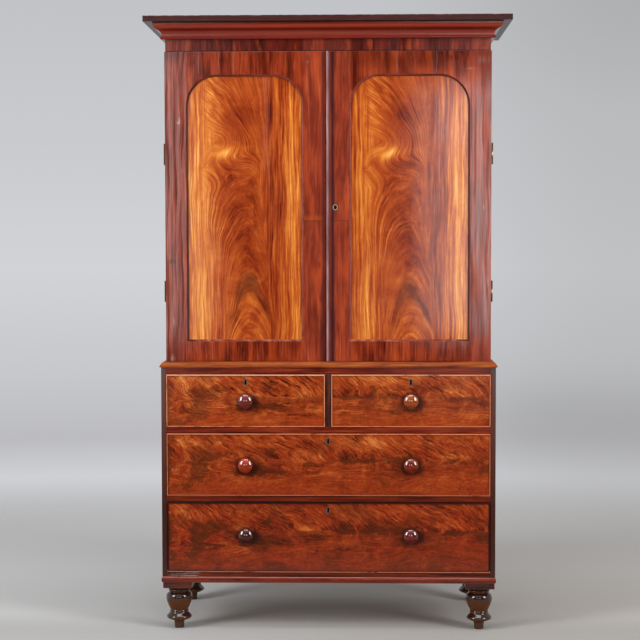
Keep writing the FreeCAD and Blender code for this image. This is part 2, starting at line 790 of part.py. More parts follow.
def foot_outline():
    """Half section of a turned foot: tip, ring, waist, bulb, neck, collar and tenon."""
    high = s.foot_height
    ring_low = s.foot_tip_height
    ring_high = ring_low + s.foot_ring_height
    ring_half = s.foot_ring_height / 2
    ring_middle = ring_low + ring_half
    ring_root = s.foot_ring_radius - ring_half
    bulb_low = ring_high + s.foot_waist_height
    collar_low = high - s.foot_collar_height
    bulb_high = collar_low - s.foot_neck_height
    bulb_rise = (bulb_high - bulb_low) / 2
    waist = s.foot_waist_radius
    swell = s.foot_bulb_radius - waist
    bulb = (bulb_rise * bulb_rise + swell * swell) / (swell * 2)
    neck = waist - s.foot_neck_depth
    return Outline(
        (0, 0), (s.foot_tip_radius, 0), (s.foot_tip_radius + s.foot_tip_flare, ring_low),
        (ring_root, ring_low, Arc(1, centre=(ring_root, ring_middle))),
        (ring_root, ring_high), (waist, bulb_low, Arc(1, radius=bulb)),
        (waist, bulb_high), (neck, bulb_high), (neck, collar_low),
        (s.foot_collar_radius, collar_low), (s.foot_collar_radius, high),
        (s.foot_tenon_radius, high), (s.foot_tenon_radius, high + s.block_height),
        (0, high + s.block_height))


# ---------------------------------------------------------------- cupboard

def build_cupboard_carcass(case_leaves):
    """Sides, top and bottom, back boards, tray runners and trays."""
    boards_y = (cupboard_front, back_inner)
    limits = (-cupboard_inner, cupboard_inner)
    bottom_board = board("upper_bottom", limits, boards_y,
                         (chest_high, chest_high + s.carcass_board))
    top_board = board("upper_top", limits, boards_y,
                      (cupboard_high - s.carcass_board, cupboard_high))
    reach = cupboard_inner + s.back_rebate
    rebate = board("upper_back_rebate", (-reach, reach), (back_inner, back),
                   (chest_high, cupboard_high))
    sides, runners, trays = [], [], []
    for side, word in SIDES.items():
        blank = board(f"upper_side_{word}", across(side, cupboard_inner, cupboard_half),
                      (cupboard_front, back), (chest_high, cupboard_high))
        sides.append(cut(blank, rebate, *case_leaves[side]))

    floor = chest_high + s.carcass_board
    pitch = (cupboard_high - s.carcass_board - floor) / (TRAYS + 1)
    tray_y = (cupboard_front + s.tray_setback, back_inner - s.tray_back_gap)
    for index in range(TRAYS):
        seat = floor + pitch * (index + 1)
        for side, word in SIDES.items():
            runners.append(board(
                f"tray_runner_{index + 1}_{word}",
                across(side, cupboard_inner - s.tray_runner_width, cupboard_inner),
                tray_y, (seat - s.runner_height, seat)))
        trays += tray(f"tray_{index + 1}", tray_y, seat)
    node("upper_sides", *sides)
    node("upper_top_and_bottom", top_board, bottom_board)
    node("upper_back_boards", *back_boards("upper_back_board", cupboard_half,
                                           (chest_high, cupboard_high)))
    node("tray_runners", *runners)
    node("linen_trays", *trays)


def tray(name, y, seat):
    """An open tray: two sides, a back, a bottom, and a front cut down in the middle."""
    half = cupboard_inner - s.tray_play
    inner = half - s.tray_wall
    groove = s.tray_wall / 2
    high = seat + s.tray_height
    bottom = board(f"{name}_bottom", (-(inner + groove), inner + groove),
                   (y[0] + groove, y[1] - groove),
                   (seat + s.tray_bottom, seat + s.tray_bottom * 2))
    pieces = [bottom]
    for side, word in SIDES.items():
        pieces.append(cut(board(f"{name}_{word}", across(side, inner, half), y,
                                (seat, high)), bottom))
    pieces.append(cut(board(f"{name}_back", (-inner, inner), (y[1] - s.tray_wall, y[1]),
                            (seat, high)), bottom))
    end_high = seat + s.tray_front_height
    dip = s.tray_front_dip
    shoulder = s.tray_front_shoulder
    face = new_body(f"{name}_front")
    pad(face, "XZ", (y[0], y[0] + s.tray_wall), Outline(
        (-inner, seat), (inner, seat), (inner, end_high),
        (shoulder, end_high, Arc(-1, centre=(shoulder, end_high - dip))),
        (shoulder - dip, end_high - dip),
        (dip - shoulder, end_high - dip, Arc(-1, centre=(-shoulder, end_high - dip))),
        (-shoulder, end_high), (-inner, end_high)))
    pieces.append(cut(face, bottom))
    return pieces


# ---------------------------------------------------------------- doors

def arch(x, z, grow):
    """A door's opening, square below and round-cornered above, grown by a distance."""
    radius = s.corner_radius
    left, right = x[0] - grow, x[1] + grow
    bottom, head = z[0] - grow, z[1] + grow
    spring = z[1] - radius
    return Outline(
        (left, bottom), (right, bottom),
        (right, spring, Arc(1, centre=(x[1] - radius, spring))),
        (x[1] - radius, head),
        (x[0] + radius, head, Arc(1, centre=(x[0] + radius, spring))),
        (left, spring))


def build_door(name, x, stile_widths):
    """A framed door: stiles, rails, panel and bead. Gives its pieces by name."""
    opening_x = (x[0] + stile_widths[0], x[1] - stile_widths[1])
    opening_z = (door_low + s.bottom_rail_width, door_high - s.top_rail_width)
    thickness = (door_front, door_back)
    panel_y = (door_front + s.panel_inset, door_front + s.panel_inset + s.panel_thickness)
    tenon_x = grown(opening_x, s.tenon_length)
    spring = opening_z[1] - s.corner_radius

    panel = pad(new_body(f"{name}_panel"), "XZ", panel_y,
                arch(opening_x, opening_z, s.groove_depth))
    top_rail = pad(new_body(f"{name}_top_rail"), "XZ", thickness, Outline(
        (opening_x[0], spring,
         Arc(-1, centre=(opening_x[0] + s.corner_radius, spring))),
        (opening_x[0] + s.corner_radius, opening_z[1]),
        (opening_x[1] - s.corner_radius, opening_z[1],
         Arc(-1, centre=(opening_x[1] - s.corner_radius, spring))),
        (opening_x[1], spring), (opening_x[1], door_high), (opening_x[0], door_high)))
    pad(top_rail, "XZ", panel_y, rectangle(
        tenon_x, (opening_z[1] + s.tenon_shoulder, door_high - s.tenon_shoulder)))
    bottom_rail = pad(new_body(f"{name}_bottom_rail"), "XZ", thickness,
                      rectangle(opening_x, (door_low, opening_z[0])))
    pad(bottom_rail, "XZ", panel_y, rectangle(
        tenon_x, (door_low + s.tenon_shoulder, opening_z[0] - s.tenon_shoulder)))
    stiles = []
    for word, limits in (("left", (x[0], opening_x[0])), ("right", (opening_x[1], x[1]))):
        blank = board(f"{name}_{word}_stile", limits, thickness, (door_low, door_high))
        stiles.append(cut(blank, top_rail, bottom_rail, panel))

    bead = pad(new_body(f"{name}_bead"), "XZ", (panel_y[0] - s.panel_bead_rise, panel_y[0]),
               arch(opening_x, opening_z, as_length(0)),
               arch(opening_x, opening_z, -s.panel_bead))
    return {"panel": panel, "bead": round_inner_edge(bead, s.panel_bead_round),
            "left_stile": stiles[0], "right_stile": stiles[1],
            "top_rail": cut(top_rail, panel), "bottom_rail": cut(bottom_rail, panel)}


def round_inner_edge(body, radius):
    """Round a frame-shaped body's inner edge on its foremost face."""
    doc.recompute()
    base = body.Tip
    foremost = min(base.Shape.Faces, key=lambda face: face.BoundBox.YMax)
    inner_wire = next(wire for wire in foremost.Wires if not wire.isSame(foremost.OuterWire))
    names = [f"Edge{index + 1}" for index, edge in enumerate(base.Shape.Edges)
             if any(edge.isSame(other) for other in inner_wire.Edges)]
    fillet = body.newObject("PartDesign::Fillet", body.Label + "_fillet")
    fillet.Base = (base, names)
    fillet.setExpression("Radius", radius.formula)
    body.Tip = fillet
    return body


def hinge_centres():
    """Heights of the two hinges of a door."""
    return [door_low + s.low_hinge_rise, door_low + s.high_hinge_rise]


def hinge_leaf(name, side, centre, on_door):
    """One leaf of a butt hinge, with every other knuckle."""
    low = centre - s.hinge_height / 2
    pitch = s.hinge_height / KNUCKLES
    edge = cupboard_half - s.leaf_inset
    inner = cupboard_half - s.leaf_width
    if on_door:
        thickness = (door_back - s.leaf_thickness, door_back)
        kept = [index for index in range(KNUCKLES) if index % 2 == 1]
    else:
        thickness = (cupboard_front, cupboard_front + s.leaf_thickness)
        kept = [index for index in range(KNUCKLES) if index % 2 == 0]
    body = new_body(name)
    pad(body, "XZ", thickness, rectangle(across(side, inner, edge),
                                         (low, low + s.hinge_height)))
    for index in kept:
        span = (low + pitch * index + s.knuckle_gap / 2,
                low + pitch * (index + 1) - s.knuckle_gap / 2)
        pad(body, "XZ", thickness, rectangle(across(side, edge - s.knuckle_web, pin_x), span))
        pad(body, "XY", span, Ring(side * pin_x, pin_y, s.knuckle_radius))
    pocket(body, "XY", (low - TOOL_MARGIN, low + s.hinge_height + TOOL_MARGIN),
           Ring(side * pin_x, pin_y, s.pin_radius + s.pin_play))
    return body


def build_hinges():
    """All leaves and pins. Gives the case leaves and the door leaves by side."""
    case_leaves, door_leaves, pins = {}, {}, []
    for side, word in SIDES.items():
        case_leaves[side], door_leaves[side] = [], []
        for level, centre in zip(("low", "high"), hinge_centres()):
            name = f"hinge_{word}_{level}"
            case_leaves[side].append(hinge_leaf(name + "_case_leaf", side, centre, False))
            door_leaves[side].append(hinge_leaf(name + "_door_leaf", side, centre, True))
            pins.append(rod(name + "_pin", s.pin_radius, side * pin_x, pin_y,
                            between(centre, s.hinge_height)))
    node("hinge_case_leaves", *case_leaves[-1], *case_leaves[1], *pins)
    node("left_door_hinge_leaves", *door_leaves[-1])
    node("right_door_hinge_leaves", *door_leaves[1])
    return case_leaves, door_leaves


left_door_x = (-cupboard_half, -s.lock_stile_edge - s.door_gap)
right_door_x = (-s.lock_stile_edge, cupboard_half)
slip_bolt_x = left_door_x[1] - s.slip_bolt_centre
slip_bolt_y = (door_back - s.slip_plate_thickness - s.bolt_play - s.slip_bolt_thickness,
               door_back - s.slip_plate_thickness - s.bolt_play)


def slip_bolt_mortise(low, high):
    """Room for a shot slip bolt in the frieze above or the moulding below the left door."""
    return board("slip_bolt_mortise",
                 grown(between(slip_bolt_x, s.slip_bolt_width), s.mortise_play / 2),
                 grown(slip_bolt_y, s.mortise_play / 2), (low, high))


def slip_bolt(word, edge, inwards):
    """A slip bolt, its guide plate and the room it needs. inwards is 1 above the edge."""
    def run(near, far):
        low, high = edge + near * inwards, edge + far * inwards
        return (low, high) if inwards > 0 else (high, low)

    tip = s.slip_bolt_setback
    end = tip + s.slip_bolt_length
    thumb_at = tip + s.thumb_centre
    bolt = new_body(f"left_door_{word}_bolt")
    pad(bolt, "XY", run(tip, end),
        rectangle(between(slip_bolt_x, s.slip_bolt_width), slip_bolt_y))
    thumb_z = edge + thumb_at * inwards
    pad(bolt, "XZ", (slip_bolt_y[1] - s.thumb_root, door_back + s.thumb_reach),
        Ring(slip_bolt_x, thumb_z, s.thumb_radius - s.bolt_play))
    channel = board(f"{word}_bolt_channel",
                    grown(between(slip_bolt_x, s.slip_bolt_width), s.bolt_play),
                    (slip_bolt_y[0] - s.bolt_play, door_back),
                    run(as_length(-TOOL_MARGIN), end + s.bolt_play))
    plate = board(f"{word}_bolt_plate", between(slip_bolt_x, s.slip_plate_width),
                  (door_back - s.slip_plate_thickness, door_back),
                  run(s.slip_plate_start, s.slip_plate_end))
    slot = board(f"{word}_bolt_plate_slot", between(slip_bolt_x, s.thumb_radius * 2),
                 (door_back - s.slip_plate_thickness - TOOL_MARGIN, door_back + TOOL_MARGIN),
                 run(thumb_at - s.thumb_radius - s.slip_bolt_travel,
                     thumb_at + s.thumb_radius))
    return bolt, cut(plate, slot), (channel, plate)


def build_left_door(leaves):
    """Left door with its slip bolts; the other door's lock bolt shoots into its edge."""
    pieces = build_door("left_door", left_door_x, (s.stile_width, s.stile_width))
    top_bolt, top_plate, top_room = slip_bolt("top", door_high, -1)
    bottom_bolt, bottom_plate, bottom_room = slip_bolt("bottom", door_low, 1)
    mortise = board("door_lock_mortise",
                    (left_door_x[1] - s.mortise_depth, left_door_x[1] + TOOL_MARGIN),
                    grown(door_bolt_y(), s.mortise_play),
                    grown(between(door_lock_z(), s.bolt_width), s.mortise_play))
    meeting_stile = cut(pieces["right_stile"], *top_room, *bottom_room, mortise)
    node("left_door_frame", cut(pieces["left_stile"], *leaves), meeting_stile,
         pieces["top_rail"], pieces["bottom_rail"])
    node("left_door_panel", pieces["panel"])
    node("left_door_bead", pieces["bead"])
    node("left_door_bolt_plates", top_plate, bottom_plate)
    node("left_door_top_bolt", top_bolt)
    node("left_door_bottom_bolt", bottom_bolt)


def door_lock_z():
    """Height of the doors' lock."""
    return door_low + s.door_lock_rise


def door_bolt_y():
    """Where the doors' lock bolt lies, front to back."""
    return between(door_back - s.lock_depth / 2, s.bolt_thickness)


def stadium(centre_x, centre_z, width, height):
    """An upright keyhole outline with round ends."""
    half = width / 2
    straight = (height - width) / 2
    low, high = centre_z - straight, centre_z + straight
    return Outline((centre_x - half, low, Arc(1, centre=(centre_x, low))),
                   (centre_x + half, low),
                   (centre_x + half, high, Arc(1, centre=(centre_x, high))),
                   (centre_x - half, high))


def escutcheon(name, outline_at, face, wood_depth):
    """A metal liner round a keyhole, and the room for it and for the key.

    outline_at gives the outline for a distance inside the liner's outer edge.
    """
    room_limits = (face - TOOL_MARGIN, face + s.escutcheon_depth)
    key_outline = outline_at(s.escutcheon_wall)
    liner = pad(new_body(name), "XZ", (face - s.escutcheon_reach, face + s.escutcheon_depth),
                outline_at(as_length(0)), key_outline)
    room = pad(new_body(name + "_room"), "XZ", room_limits, outline_at(as_length(0)))
    key_room = pad(new_body(name + "_key_room"), "XZ",
                   (face - TOOL_MARGIN, face + wood_depth + s.lock_depth / 2), key_outline)
    return liner, room, key_room


def build_right_door(leaves):
    """Right door with its astragal and lock."""
    pieces = build_door("right_door", right_door_x, (s.lock_stile_width, s.stile_width))
    edge = right_door_x[0]
    centre_z = door_lock_z()
    lock_y = (door_back - s.lock_depth, door_back)
    lock_limits = (edge, edge + s.lock_width)
    lock_blank = board("right_door_lock_case", lock_limits, lock_y,
                       between(centre_z, s.lock_height))
    bolt_x = (edge + s.bolt_play, edge + s.bolt_play + s.bolt_length)
    bolt = board("right_door_lock_bolt", bolt_x, door_bolt_y(),
                 between(centre_z, s.bolt_width))
    bolt_room = board("right_door_bolt_room", (edge - TOOL_MARGIN, bolt_x[1] + s.bolt_play),
                      grown(door_bolt_y(), s.bolt_play),
                      grown(between(centre_z, s.bolt_width), s.bolt_play))
    key_x = edge + s.door_key_centre

    def oval(inset):
        return stadium(key_x, centre_z, s.oval_height - inset * 2, s.oval_width - inset * 2)

    liner, room, key_room = escutcheon("right_door_escutcheon", oval, door_front,
                                       s.door_thickness - s.lock_depth)
    stile = cut(pieces["left_stile"], lock_blank, room, key_room)

    astragal_half = s.astragal_width / 2
    ground = door_front - s.astragal_fillet
    round_radius = s.astragal_rise - s.astragal_fillet
    centre = (edge + astragal_half, ground)
    astragal = pad(new_body("right_door_astragal"), "XY", (door_low, door_high), Outline(
        (edge, door_front), (edge, ground), (centre[0] - round_radius, ground,
                                             Arc(1, centre=centre)),
        (centre[0] + round_radius, ground), (edge + s.astragal_width, ground),
        (edge + s.astragal_width, door_front)))
    node("right_door_frame", stile, cut(pieces["right_stile"], *leaves),
         pieces["top_rail"], pieces["bottom_rail"])
    node("right_door_panel", pieces["panel"])
    node("right_door_bead", pieces["bead"])
    node("right_door_astragal", astragal)
    node("right_door_lock", cut(lock_blank, bolt_room, key_room), liner)
    node("right_door_lock_bolt", bolt)


# ---------------------------------------------------------------- drawers

def drawer_bolt_y():
    """Where a drawer's lock bolt lies, front to back."""
    return between(front + s.front_thickness - s.lock_depth / 2, s.bolt_thickness)


def tails(shoulder, tip, z, count, climbing):
    """Corners of a row of dovetails on a drawer side's end, in climbing or falling order."""
    pitch = (z[1] - z[0]) / count
    tip_half = pitch * TAIL_SHARE
    length = tip - shoulder if tip.value > shoulder.value else shoulder - tip
    root_half = tip_half - length * s.tail_taper
    corners = []
    for index in range(count):
        centre = z[0] + pitch * index + pitch / 2
        corners += [(shoulder, centre - root_half), (tip, centre - tip_half),
                    (tip, centre + tip_half), (shoulder, centre + root_half)]
    return corners if climbing else corners[::-1]


def drawer_side(name, x, y, z, back_low, count):
    """A drawer side dovetailed at both ends; its back tails start above the bottom."""
    front_shoulder = y[0] + s.front_thickness - s.drawer_lap
    back_shoulder = y[1] - s.drawer_side_thickness
    outline = Outline(
        (front_shoulder, z[0]), (y[1], z[0]), (y[1], back_low), (back_shoulder, back_low),
        *tails(back_shoulder, y[1], (back_low, z[1]), count, True),
        (back_shoulder, z[1]), (front_shoulder, z[1]),
        *tails(front_shoulder, y[0], z, count, False))
    return pad(new_body(name), "YZ", x, outline)


def knob_outline():
    """Half section of a turned knob: domed head, neck, foot and stem."""
    length, swell = s.knob_length, s.knob_rim_swell
    rim = s.knob_radius - swell
    dome_rise = s.knob_dome_height
    dome = (rim * rim + dome_rise * dome_rise) / (dome_rise * 2)
    rim_half = s.knob_rim_height / 2
    edge = (rim_half * rim_half + swell * swell) / (swell * 2)
    rim_front = dome_rise - length
    rim_back = rim_front + s.knob_rim_height
    neck = s.knob_neck_radius
    foot_back = -s.knob_foot_height
    return Outline(
        (0, -length, Arc(1, centre=(as_length(0), dome - length))),
        (rim, rim_front, Arc(1, radius=edge)), (rim, rim_back),
        (neck, rim_back + s.knob_back_height), (neck, foot_back - s.knob_flare_height),
        (s.knob_foot_radius, foot_back), (s.knob_foot_radius, 0),
        (s.knob_stem_radius, 0), (s.knob_stem_radius, s.front_thickness),
        (0, s.front_thickness))


def build_drawer(name, opening_x, opening_z, knob_places, key_x, knob_rise, tail_count):
    """One drawer: dovetailed box, front with cock beads, knobs, lock and bolt."""
    x = (opening_x[0] + s.drawer_side_play, opening_x[1] - s.drawer_side_play)
    z = (opening_z[0] + s.drawer_seat, opening_z[1] - s.drawer_top_play)
    front_back = front + s.front_thickness
    box_back = back_inner - s.drawer_back_gap
    side_z = (z[0], z[1] - s.drawer_side_drop)
    bottom_z = (z[0] + s.drawer_bottom_rise,
                z[0] + s.drawer_bottom_rise + s.drawer_bottom_thickness)
    wall = s.drawer_side_thickness

    sides = [drawer_side(f"{name}_{word}_side", limits,
                         (front + s.drawer_lap, box_back), side_z, bottom_z[1], tail_count)
             for word, limits in (("left", (x[0], x[0] + wall)),
                                  ("right", (x[1] - wall, x[1])))]
    inner = (x[0] + wall - s.drawer_groove, x[1] - wall + s.drawer_groove)
    bottom = board(f"{name}_bottom", inner, (front_back - s.drawer_groove, box_back), bottom_z)
    back_board = board(f"{name}_back", x, (box_back - wall, box_back),
                       (bottom_z[1], side_z[1]))
    node(f"{name}_box", cut(sides[0], bottom), cut(sides[1], bottom),
         cut(back_board, *sides), bottom)

    bead_back = front + s.bead_depth
    inset_x, inset_z = grown(x, -s.bead_thickness), grown(z, -s.bead_thickness)
    blank = new_body(f"{name}_front_blank")
    pad(blank, "XZ", (bead_back, front_back), rectangle(x, z))
    pad(blank, "XZ", (front, bead_back), rectangle(inset_x, inset_z))

    lock_y = (front_back - s.lock_depth, front_back)
    lock_blank = board(f"{name}_lock_case", between(key_x, s.lock_width), lock_y,
                       (z[1] - s.lock_height, z[1]))
    bolt_z = (z[1] - s.bolt_length - s.bolt_play, z[1] - s.bolt_play)
    bolt = board(f"{name}_bolt", between(key_x, s.bolt_width), drawer_bolt_y(), bolt_z)
    bolt_room = board(f"{name}_bolt_room",
                      grown(between(key_x, s.bolt_width), s.bolt_play),
                      grown(drawer_bolt_y(), s.bolt_play),
                      (bolt_z[0] - s.bolt_play, z[1] + TOOL_MARGIN))
    key_z = z[1] - s.key_drop

    def keyhole(inset):
        return stadium(key_x, key_z, s.escutcheon_width - inset * 2,
                       s.escutcheon_height - inset * 2)

    liner, room, key_room = escutcheon(f"{name}_escutcheon", keyhole, front,
                                       s.front_thickness - s.lock_depth)
    knob_z = (z[0] + z[1]) / 2 + knob_rise
    knobs, stems = [], []
    for index, knob_x in enumerate(knob_places):
        place = (knob_x, front, knob_z)
        knobs.append(turned(f"{name}_knob_{index + 1}", "XY", knob_outline(), place))
        stem = pad(new_body(f"{name}_stem_room_{index + 1}"), "XZ",
                   (front - TOOL_MARGIN, front_back + TOOL_MARGIN),
                   Ring(knob_x, knob_z, s.knob_stem_radius))
        stems.append(stem)
    node(f"{name}_front", cut(blank, *sides, bottom, lock_blank, room, key_room, *stems))
    node(f"{name}_bead", *cock_beads(name, x, z))
    node(f"{name}_knobs", *knobs)
    node(f"{name}_lock", cut(lock_blank, bolt_room, key_room), liner)
    node(f"{name}_bolt", bolt)


def cock_beads(name, x, z):
    """Four mitred strips round a drawer front's edge, standing a little proud of it."""
    limits = (front - s.bead_reach, front + s.bead_depth)
    inner_x, inner_z = grown(x, -s.bead_thickness), grown(z, -s.bead_thickness)
    outer = [(x[0], z[0]), (x[1], z[0]), (x[1], z[1]), (x[0], z[1])]
    inner = [(inner_x[0], inner_z[0]), (inner_x[1], inner_z[0]),
             (inner_x[1], inner_z[1]), (inner_x[0], inner_z[1])]
    strips = []
    for index, word in enumerate(("low", "right", "high", "left")):
        after = (index + 1) % 4
        strip = new_body(f"{name}_bead_{word}")
        pad(strip, "XZ", limits, Outline(outer[index], outer[after], inner[after],
                                         inner[index]))
        strips.append(strip)
    return strips


def build_drawers():
    """The two short drawers and the two long ones."""
    divider_half = s.divider_thickness / 2
    full = (-chest_inner, chest_inner)
    pair = (-s.knob_centre, s.knob_centre)
    level = as_length(0)
    for side, word in SIDES.items():
        centre = side * s.knob_centre
        build_drawer(f"{word}_short_drawer", across(side, divider_half, chest_inner),
                     short_opening, [centre], centre, level, 2)
    build_drawer("middle_drawer", full, middle_opening, pair, level, level, 3)
    build_drawer("bottom_drawer", full, bottom_opening, pair, level, s.bottom_knob_rise, 3)


# ---------------------------------------------------------------- checks and files

def check_document():
    """Stop if any object failed, if a cut removed nothing, or if a node has no solid."""
    for item in doc.Objects:
        if set(item.State) & {"Invalid", "Error"}:
            raise RuntimeError(f"{item.Label} failed: {item.State}")
        if item.TypeId == "Part::Cut":
            before = item.Base.Shape.Volume
        elif item.TypeId == "PartDesign::Pocket":
            before = item.BaseFeature.Shape.Volume
        else:
            continue
        if not item.Shape.Volume < before - LEAST_CUT:
            raise RuntimeError(f"{item.Label} cuts nothing")
    for name, item in nodes.items():
        shape = item.Shape
        if shape.isNull() or not shape.isValid() or not shape.Solids:
            raise RuntimeError(f"{name} has no valid solid")


def main():
    """Build every sub-part, check the document and write one STEP file per node."""
    build_base()
    build_chest_carcass()
    build_waist()
    case_leaves, door_leaves = build_hinges()
    build_cupboard_carcass(case_leaves)
    build_left_door(door_leaves[-1])
    build_right_door(door_leaves[1])
    build_cornice()
    build_drawers()
    doc.recompute()
    check_document()
    os.makedirs("parts", exist_ok=True)
    for name, item in nodes.items():
        item.Shape.exportStep(f"parts/{name}.step")
    print(len(nodes), "nodes,", sum(len(item.Shape.Solids) for item in nodes.values()), "solids")


main()
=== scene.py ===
"""Looks of a mahogany linen press: two panelled doors over four veneered drawers.

The script loads the joined timber of the press as a fixed frame, gives every board a softened
arris, drives the screws and nails, polishes each surface and sets up a plain studio round it.
Lengths in the classes are millimetres unless a name says otherwise; the meshes are in metres.
"""

from __future__ import annotations

import logging
import math
from dataclasses import dataclass, field
from enum import Enum
from functools import cached_property
from typing import Any, Callable, Iterable, Mapping, Sequence, Union

import bmesh
import bpy
from mathutils import Matrix, Vector

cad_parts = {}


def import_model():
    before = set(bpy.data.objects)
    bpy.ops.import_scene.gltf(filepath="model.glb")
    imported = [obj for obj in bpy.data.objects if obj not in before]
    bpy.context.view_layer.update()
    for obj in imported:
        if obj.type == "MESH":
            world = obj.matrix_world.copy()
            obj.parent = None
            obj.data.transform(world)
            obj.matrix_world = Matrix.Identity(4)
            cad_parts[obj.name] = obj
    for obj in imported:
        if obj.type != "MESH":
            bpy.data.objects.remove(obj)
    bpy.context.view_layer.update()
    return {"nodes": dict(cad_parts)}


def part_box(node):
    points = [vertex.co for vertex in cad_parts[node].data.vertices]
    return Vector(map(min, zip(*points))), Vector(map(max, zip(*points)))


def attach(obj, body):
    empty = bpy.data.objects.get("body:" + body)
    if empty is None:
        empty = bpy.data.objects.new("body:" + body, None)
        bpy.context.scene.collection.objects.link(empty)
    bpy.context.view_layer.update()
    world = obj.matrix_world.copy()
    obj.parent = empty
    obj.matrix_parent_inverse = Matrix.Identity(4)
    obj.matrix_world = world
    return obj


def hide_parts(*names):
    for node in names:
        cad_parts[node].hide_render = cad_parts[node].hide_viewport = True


LOG = logging.getLogger("linen_press")

MM = 0.001
GRID = 1e6  # steps per metre in which corners are compared
WELD = 2e-6  # metres: corners closer than this are one corner
PLANE_ANGLE = math.radians(0.6)  # faces that meet flatter than this are one face
ARRIS_ANGLE = math.radians(32)  # edges sharper than this are rounded
SHARP_ANGLE = math.radians(50)  # edges sharper than this stay hard in the shading
FOLD_AREA = 4e-6  # square metres: a face that covers this much twice is folded
LESS_ROUND = 0.42  # share of the rounding that is tried where the full one spoils a solid
VOLUME_LOSS = 0.08  # largest share of a solid's volume that its rounding may take
GROWTH = 1e-5  # metres: how far a rounded solid may reach past the plain one
BACK_BOARDS = 5  # upright boards in each back
NAIL_SHARES = (0.14, 0.86)  # where the nails are across a board

# Inputs of a polished surface, with their usual values.
POLISH = {
    "metallic": ("Metallic", 0.0),
    "alpha": ("Alpha", 1.0),
    "sheen": ("Specular IOR Level", 0.5),
    "coat": ("Coat Weight", 0.0),
    "coat_rough": ("Coat Roughness", 0.1),
}

# Colours that several finishes share.
BARE = "#d08a60"  # mahogany under a knock
UNDER_RAIL_SHADE = "#2a0805"  # painted shade, with some dirt, under a rail's lower edge
RUBBED = "#a9603c"  # mahogany on a worn arris

Term = Union["Field", float]
Options = Union[Mapping[Any, Any], None]
Colour = tuple[float, float, float, float]
Stops = Sequence[tuple[float, str]]
Pair = tuple[float, float]
Triple = tuple[float, float, float]


def tone(code: str) -> Colour:
    """Turns a colour such as "#7a2c0e" into linear light.

    Args:
        code: The colour as six hexadecimal digits after a hash.

    Returns:
        Red, green, blue and an alpha of one.
    """
    parts = [int(code[i : i + 2], 16) / 255 for i in (1, 3, 5)]
    light = [c / 12.92 if c <= 0.04045 else ((c + 0.055) / 1.055) ** 2.4 for c in parts]
    return (light[0], light[1], light[2], 1.0)


class Axis(Enum):
    """The direction that a board's grain runs in."""

    ACROSS = 0
    DEEP = 1
    UP = 2


# ------------------------------------------------------------------ node trees


def _operator(operation: str, swapped: bool = False) -> Callable[["Field", Term], "Field"]:
    """Makes an operator of two values.

    Args:
        operation: The Math node's operation.
        swapped: Whether the other value stands first.

    Returns:
        The method of Field.
    """

    def method(self: "Field", other: Term) -> "Field":
        """Adds the node."""
        return self.math(operation, *((other, self) if swapped else (self, other)))

    return method


def _function(operation: str) -> Callable[["Field"], "Field"]:
    """Makes a function of one value, as a method of Field."""
    return lambda self: self.math(operation, self)


class Field:
    """The value of one socket, which can stand in an arithmetic expression."""

    def __init__(self, web: "Web", socket: bpy.types.NodeSocket) -> None:
        """Keeps the tree and the socket."""
        self.web = web
        self.socket = socket

    def math(self, operation: str, *terms: Term) -> "Field":
        """Adds one Math node with its inputs in order."""
        return self.web.take("ShaderNodeMath", {"operation": operation}, dict(enumerate(terms)))

    __add__ = _operator("ADD")
    __radd__ = _operator("ADD", swapped=True)
    __sub__ = _operator("SUBTRACT")
    __rsub__ = _operator("SUBTRACT", swapped=True)
    __mul__ = _operator("MULTIPLY")
    __rmul__ = _operator("MULTIPLY", swapped=True)
    __truediv__ = _operator("DIVIDE")
    __abs__ = _function("ABSOLUTE")
    exponent = _function("EXPONENT")
    sine = _function("SINE")
    floor = _function("FLOOR")
    root = _function("SQRT")
    over = _operator("GREATER_THAN")
    least = _operator("MINIMUM")
    most = _operator("MAXIMUM")

    def __neg__(self) -> "Field":
        """Opposite."""
        return self * -1.0

    def clamped(self) -> "Field":
        """The value kept between zero and one."""
        return self.least(1.0).most(0.0)

    def smooth(self, start: float, end: float) -> "Field":
        """Rises smoothly from zero at start to one at end.

        Args:
            start: Where the result is zero.
            end: Where it is one; it may be below start.

        Returns:
            The smoothed step.
        """
        return self.web.take(
            "ShaderNodeMapRange",
            {"interpolation_type": "SMOOTHSTEP"},
            {"Value": self, "From Min": start, "From Max": end},
        )

    def bell(self, centre: float, width: float) -> "Field":
        """A bell curve of height one about a centre."""
        offset = (self - centre) / width
        return (-(offset * offset)).exponent()

    def blend(self, low: Term, high: Term) -> "Field":
        """Goes from low, where this is zero, to high, where it is one."""
        return low + self * (high - low)


Spot = tuple[Field, Field, Field]


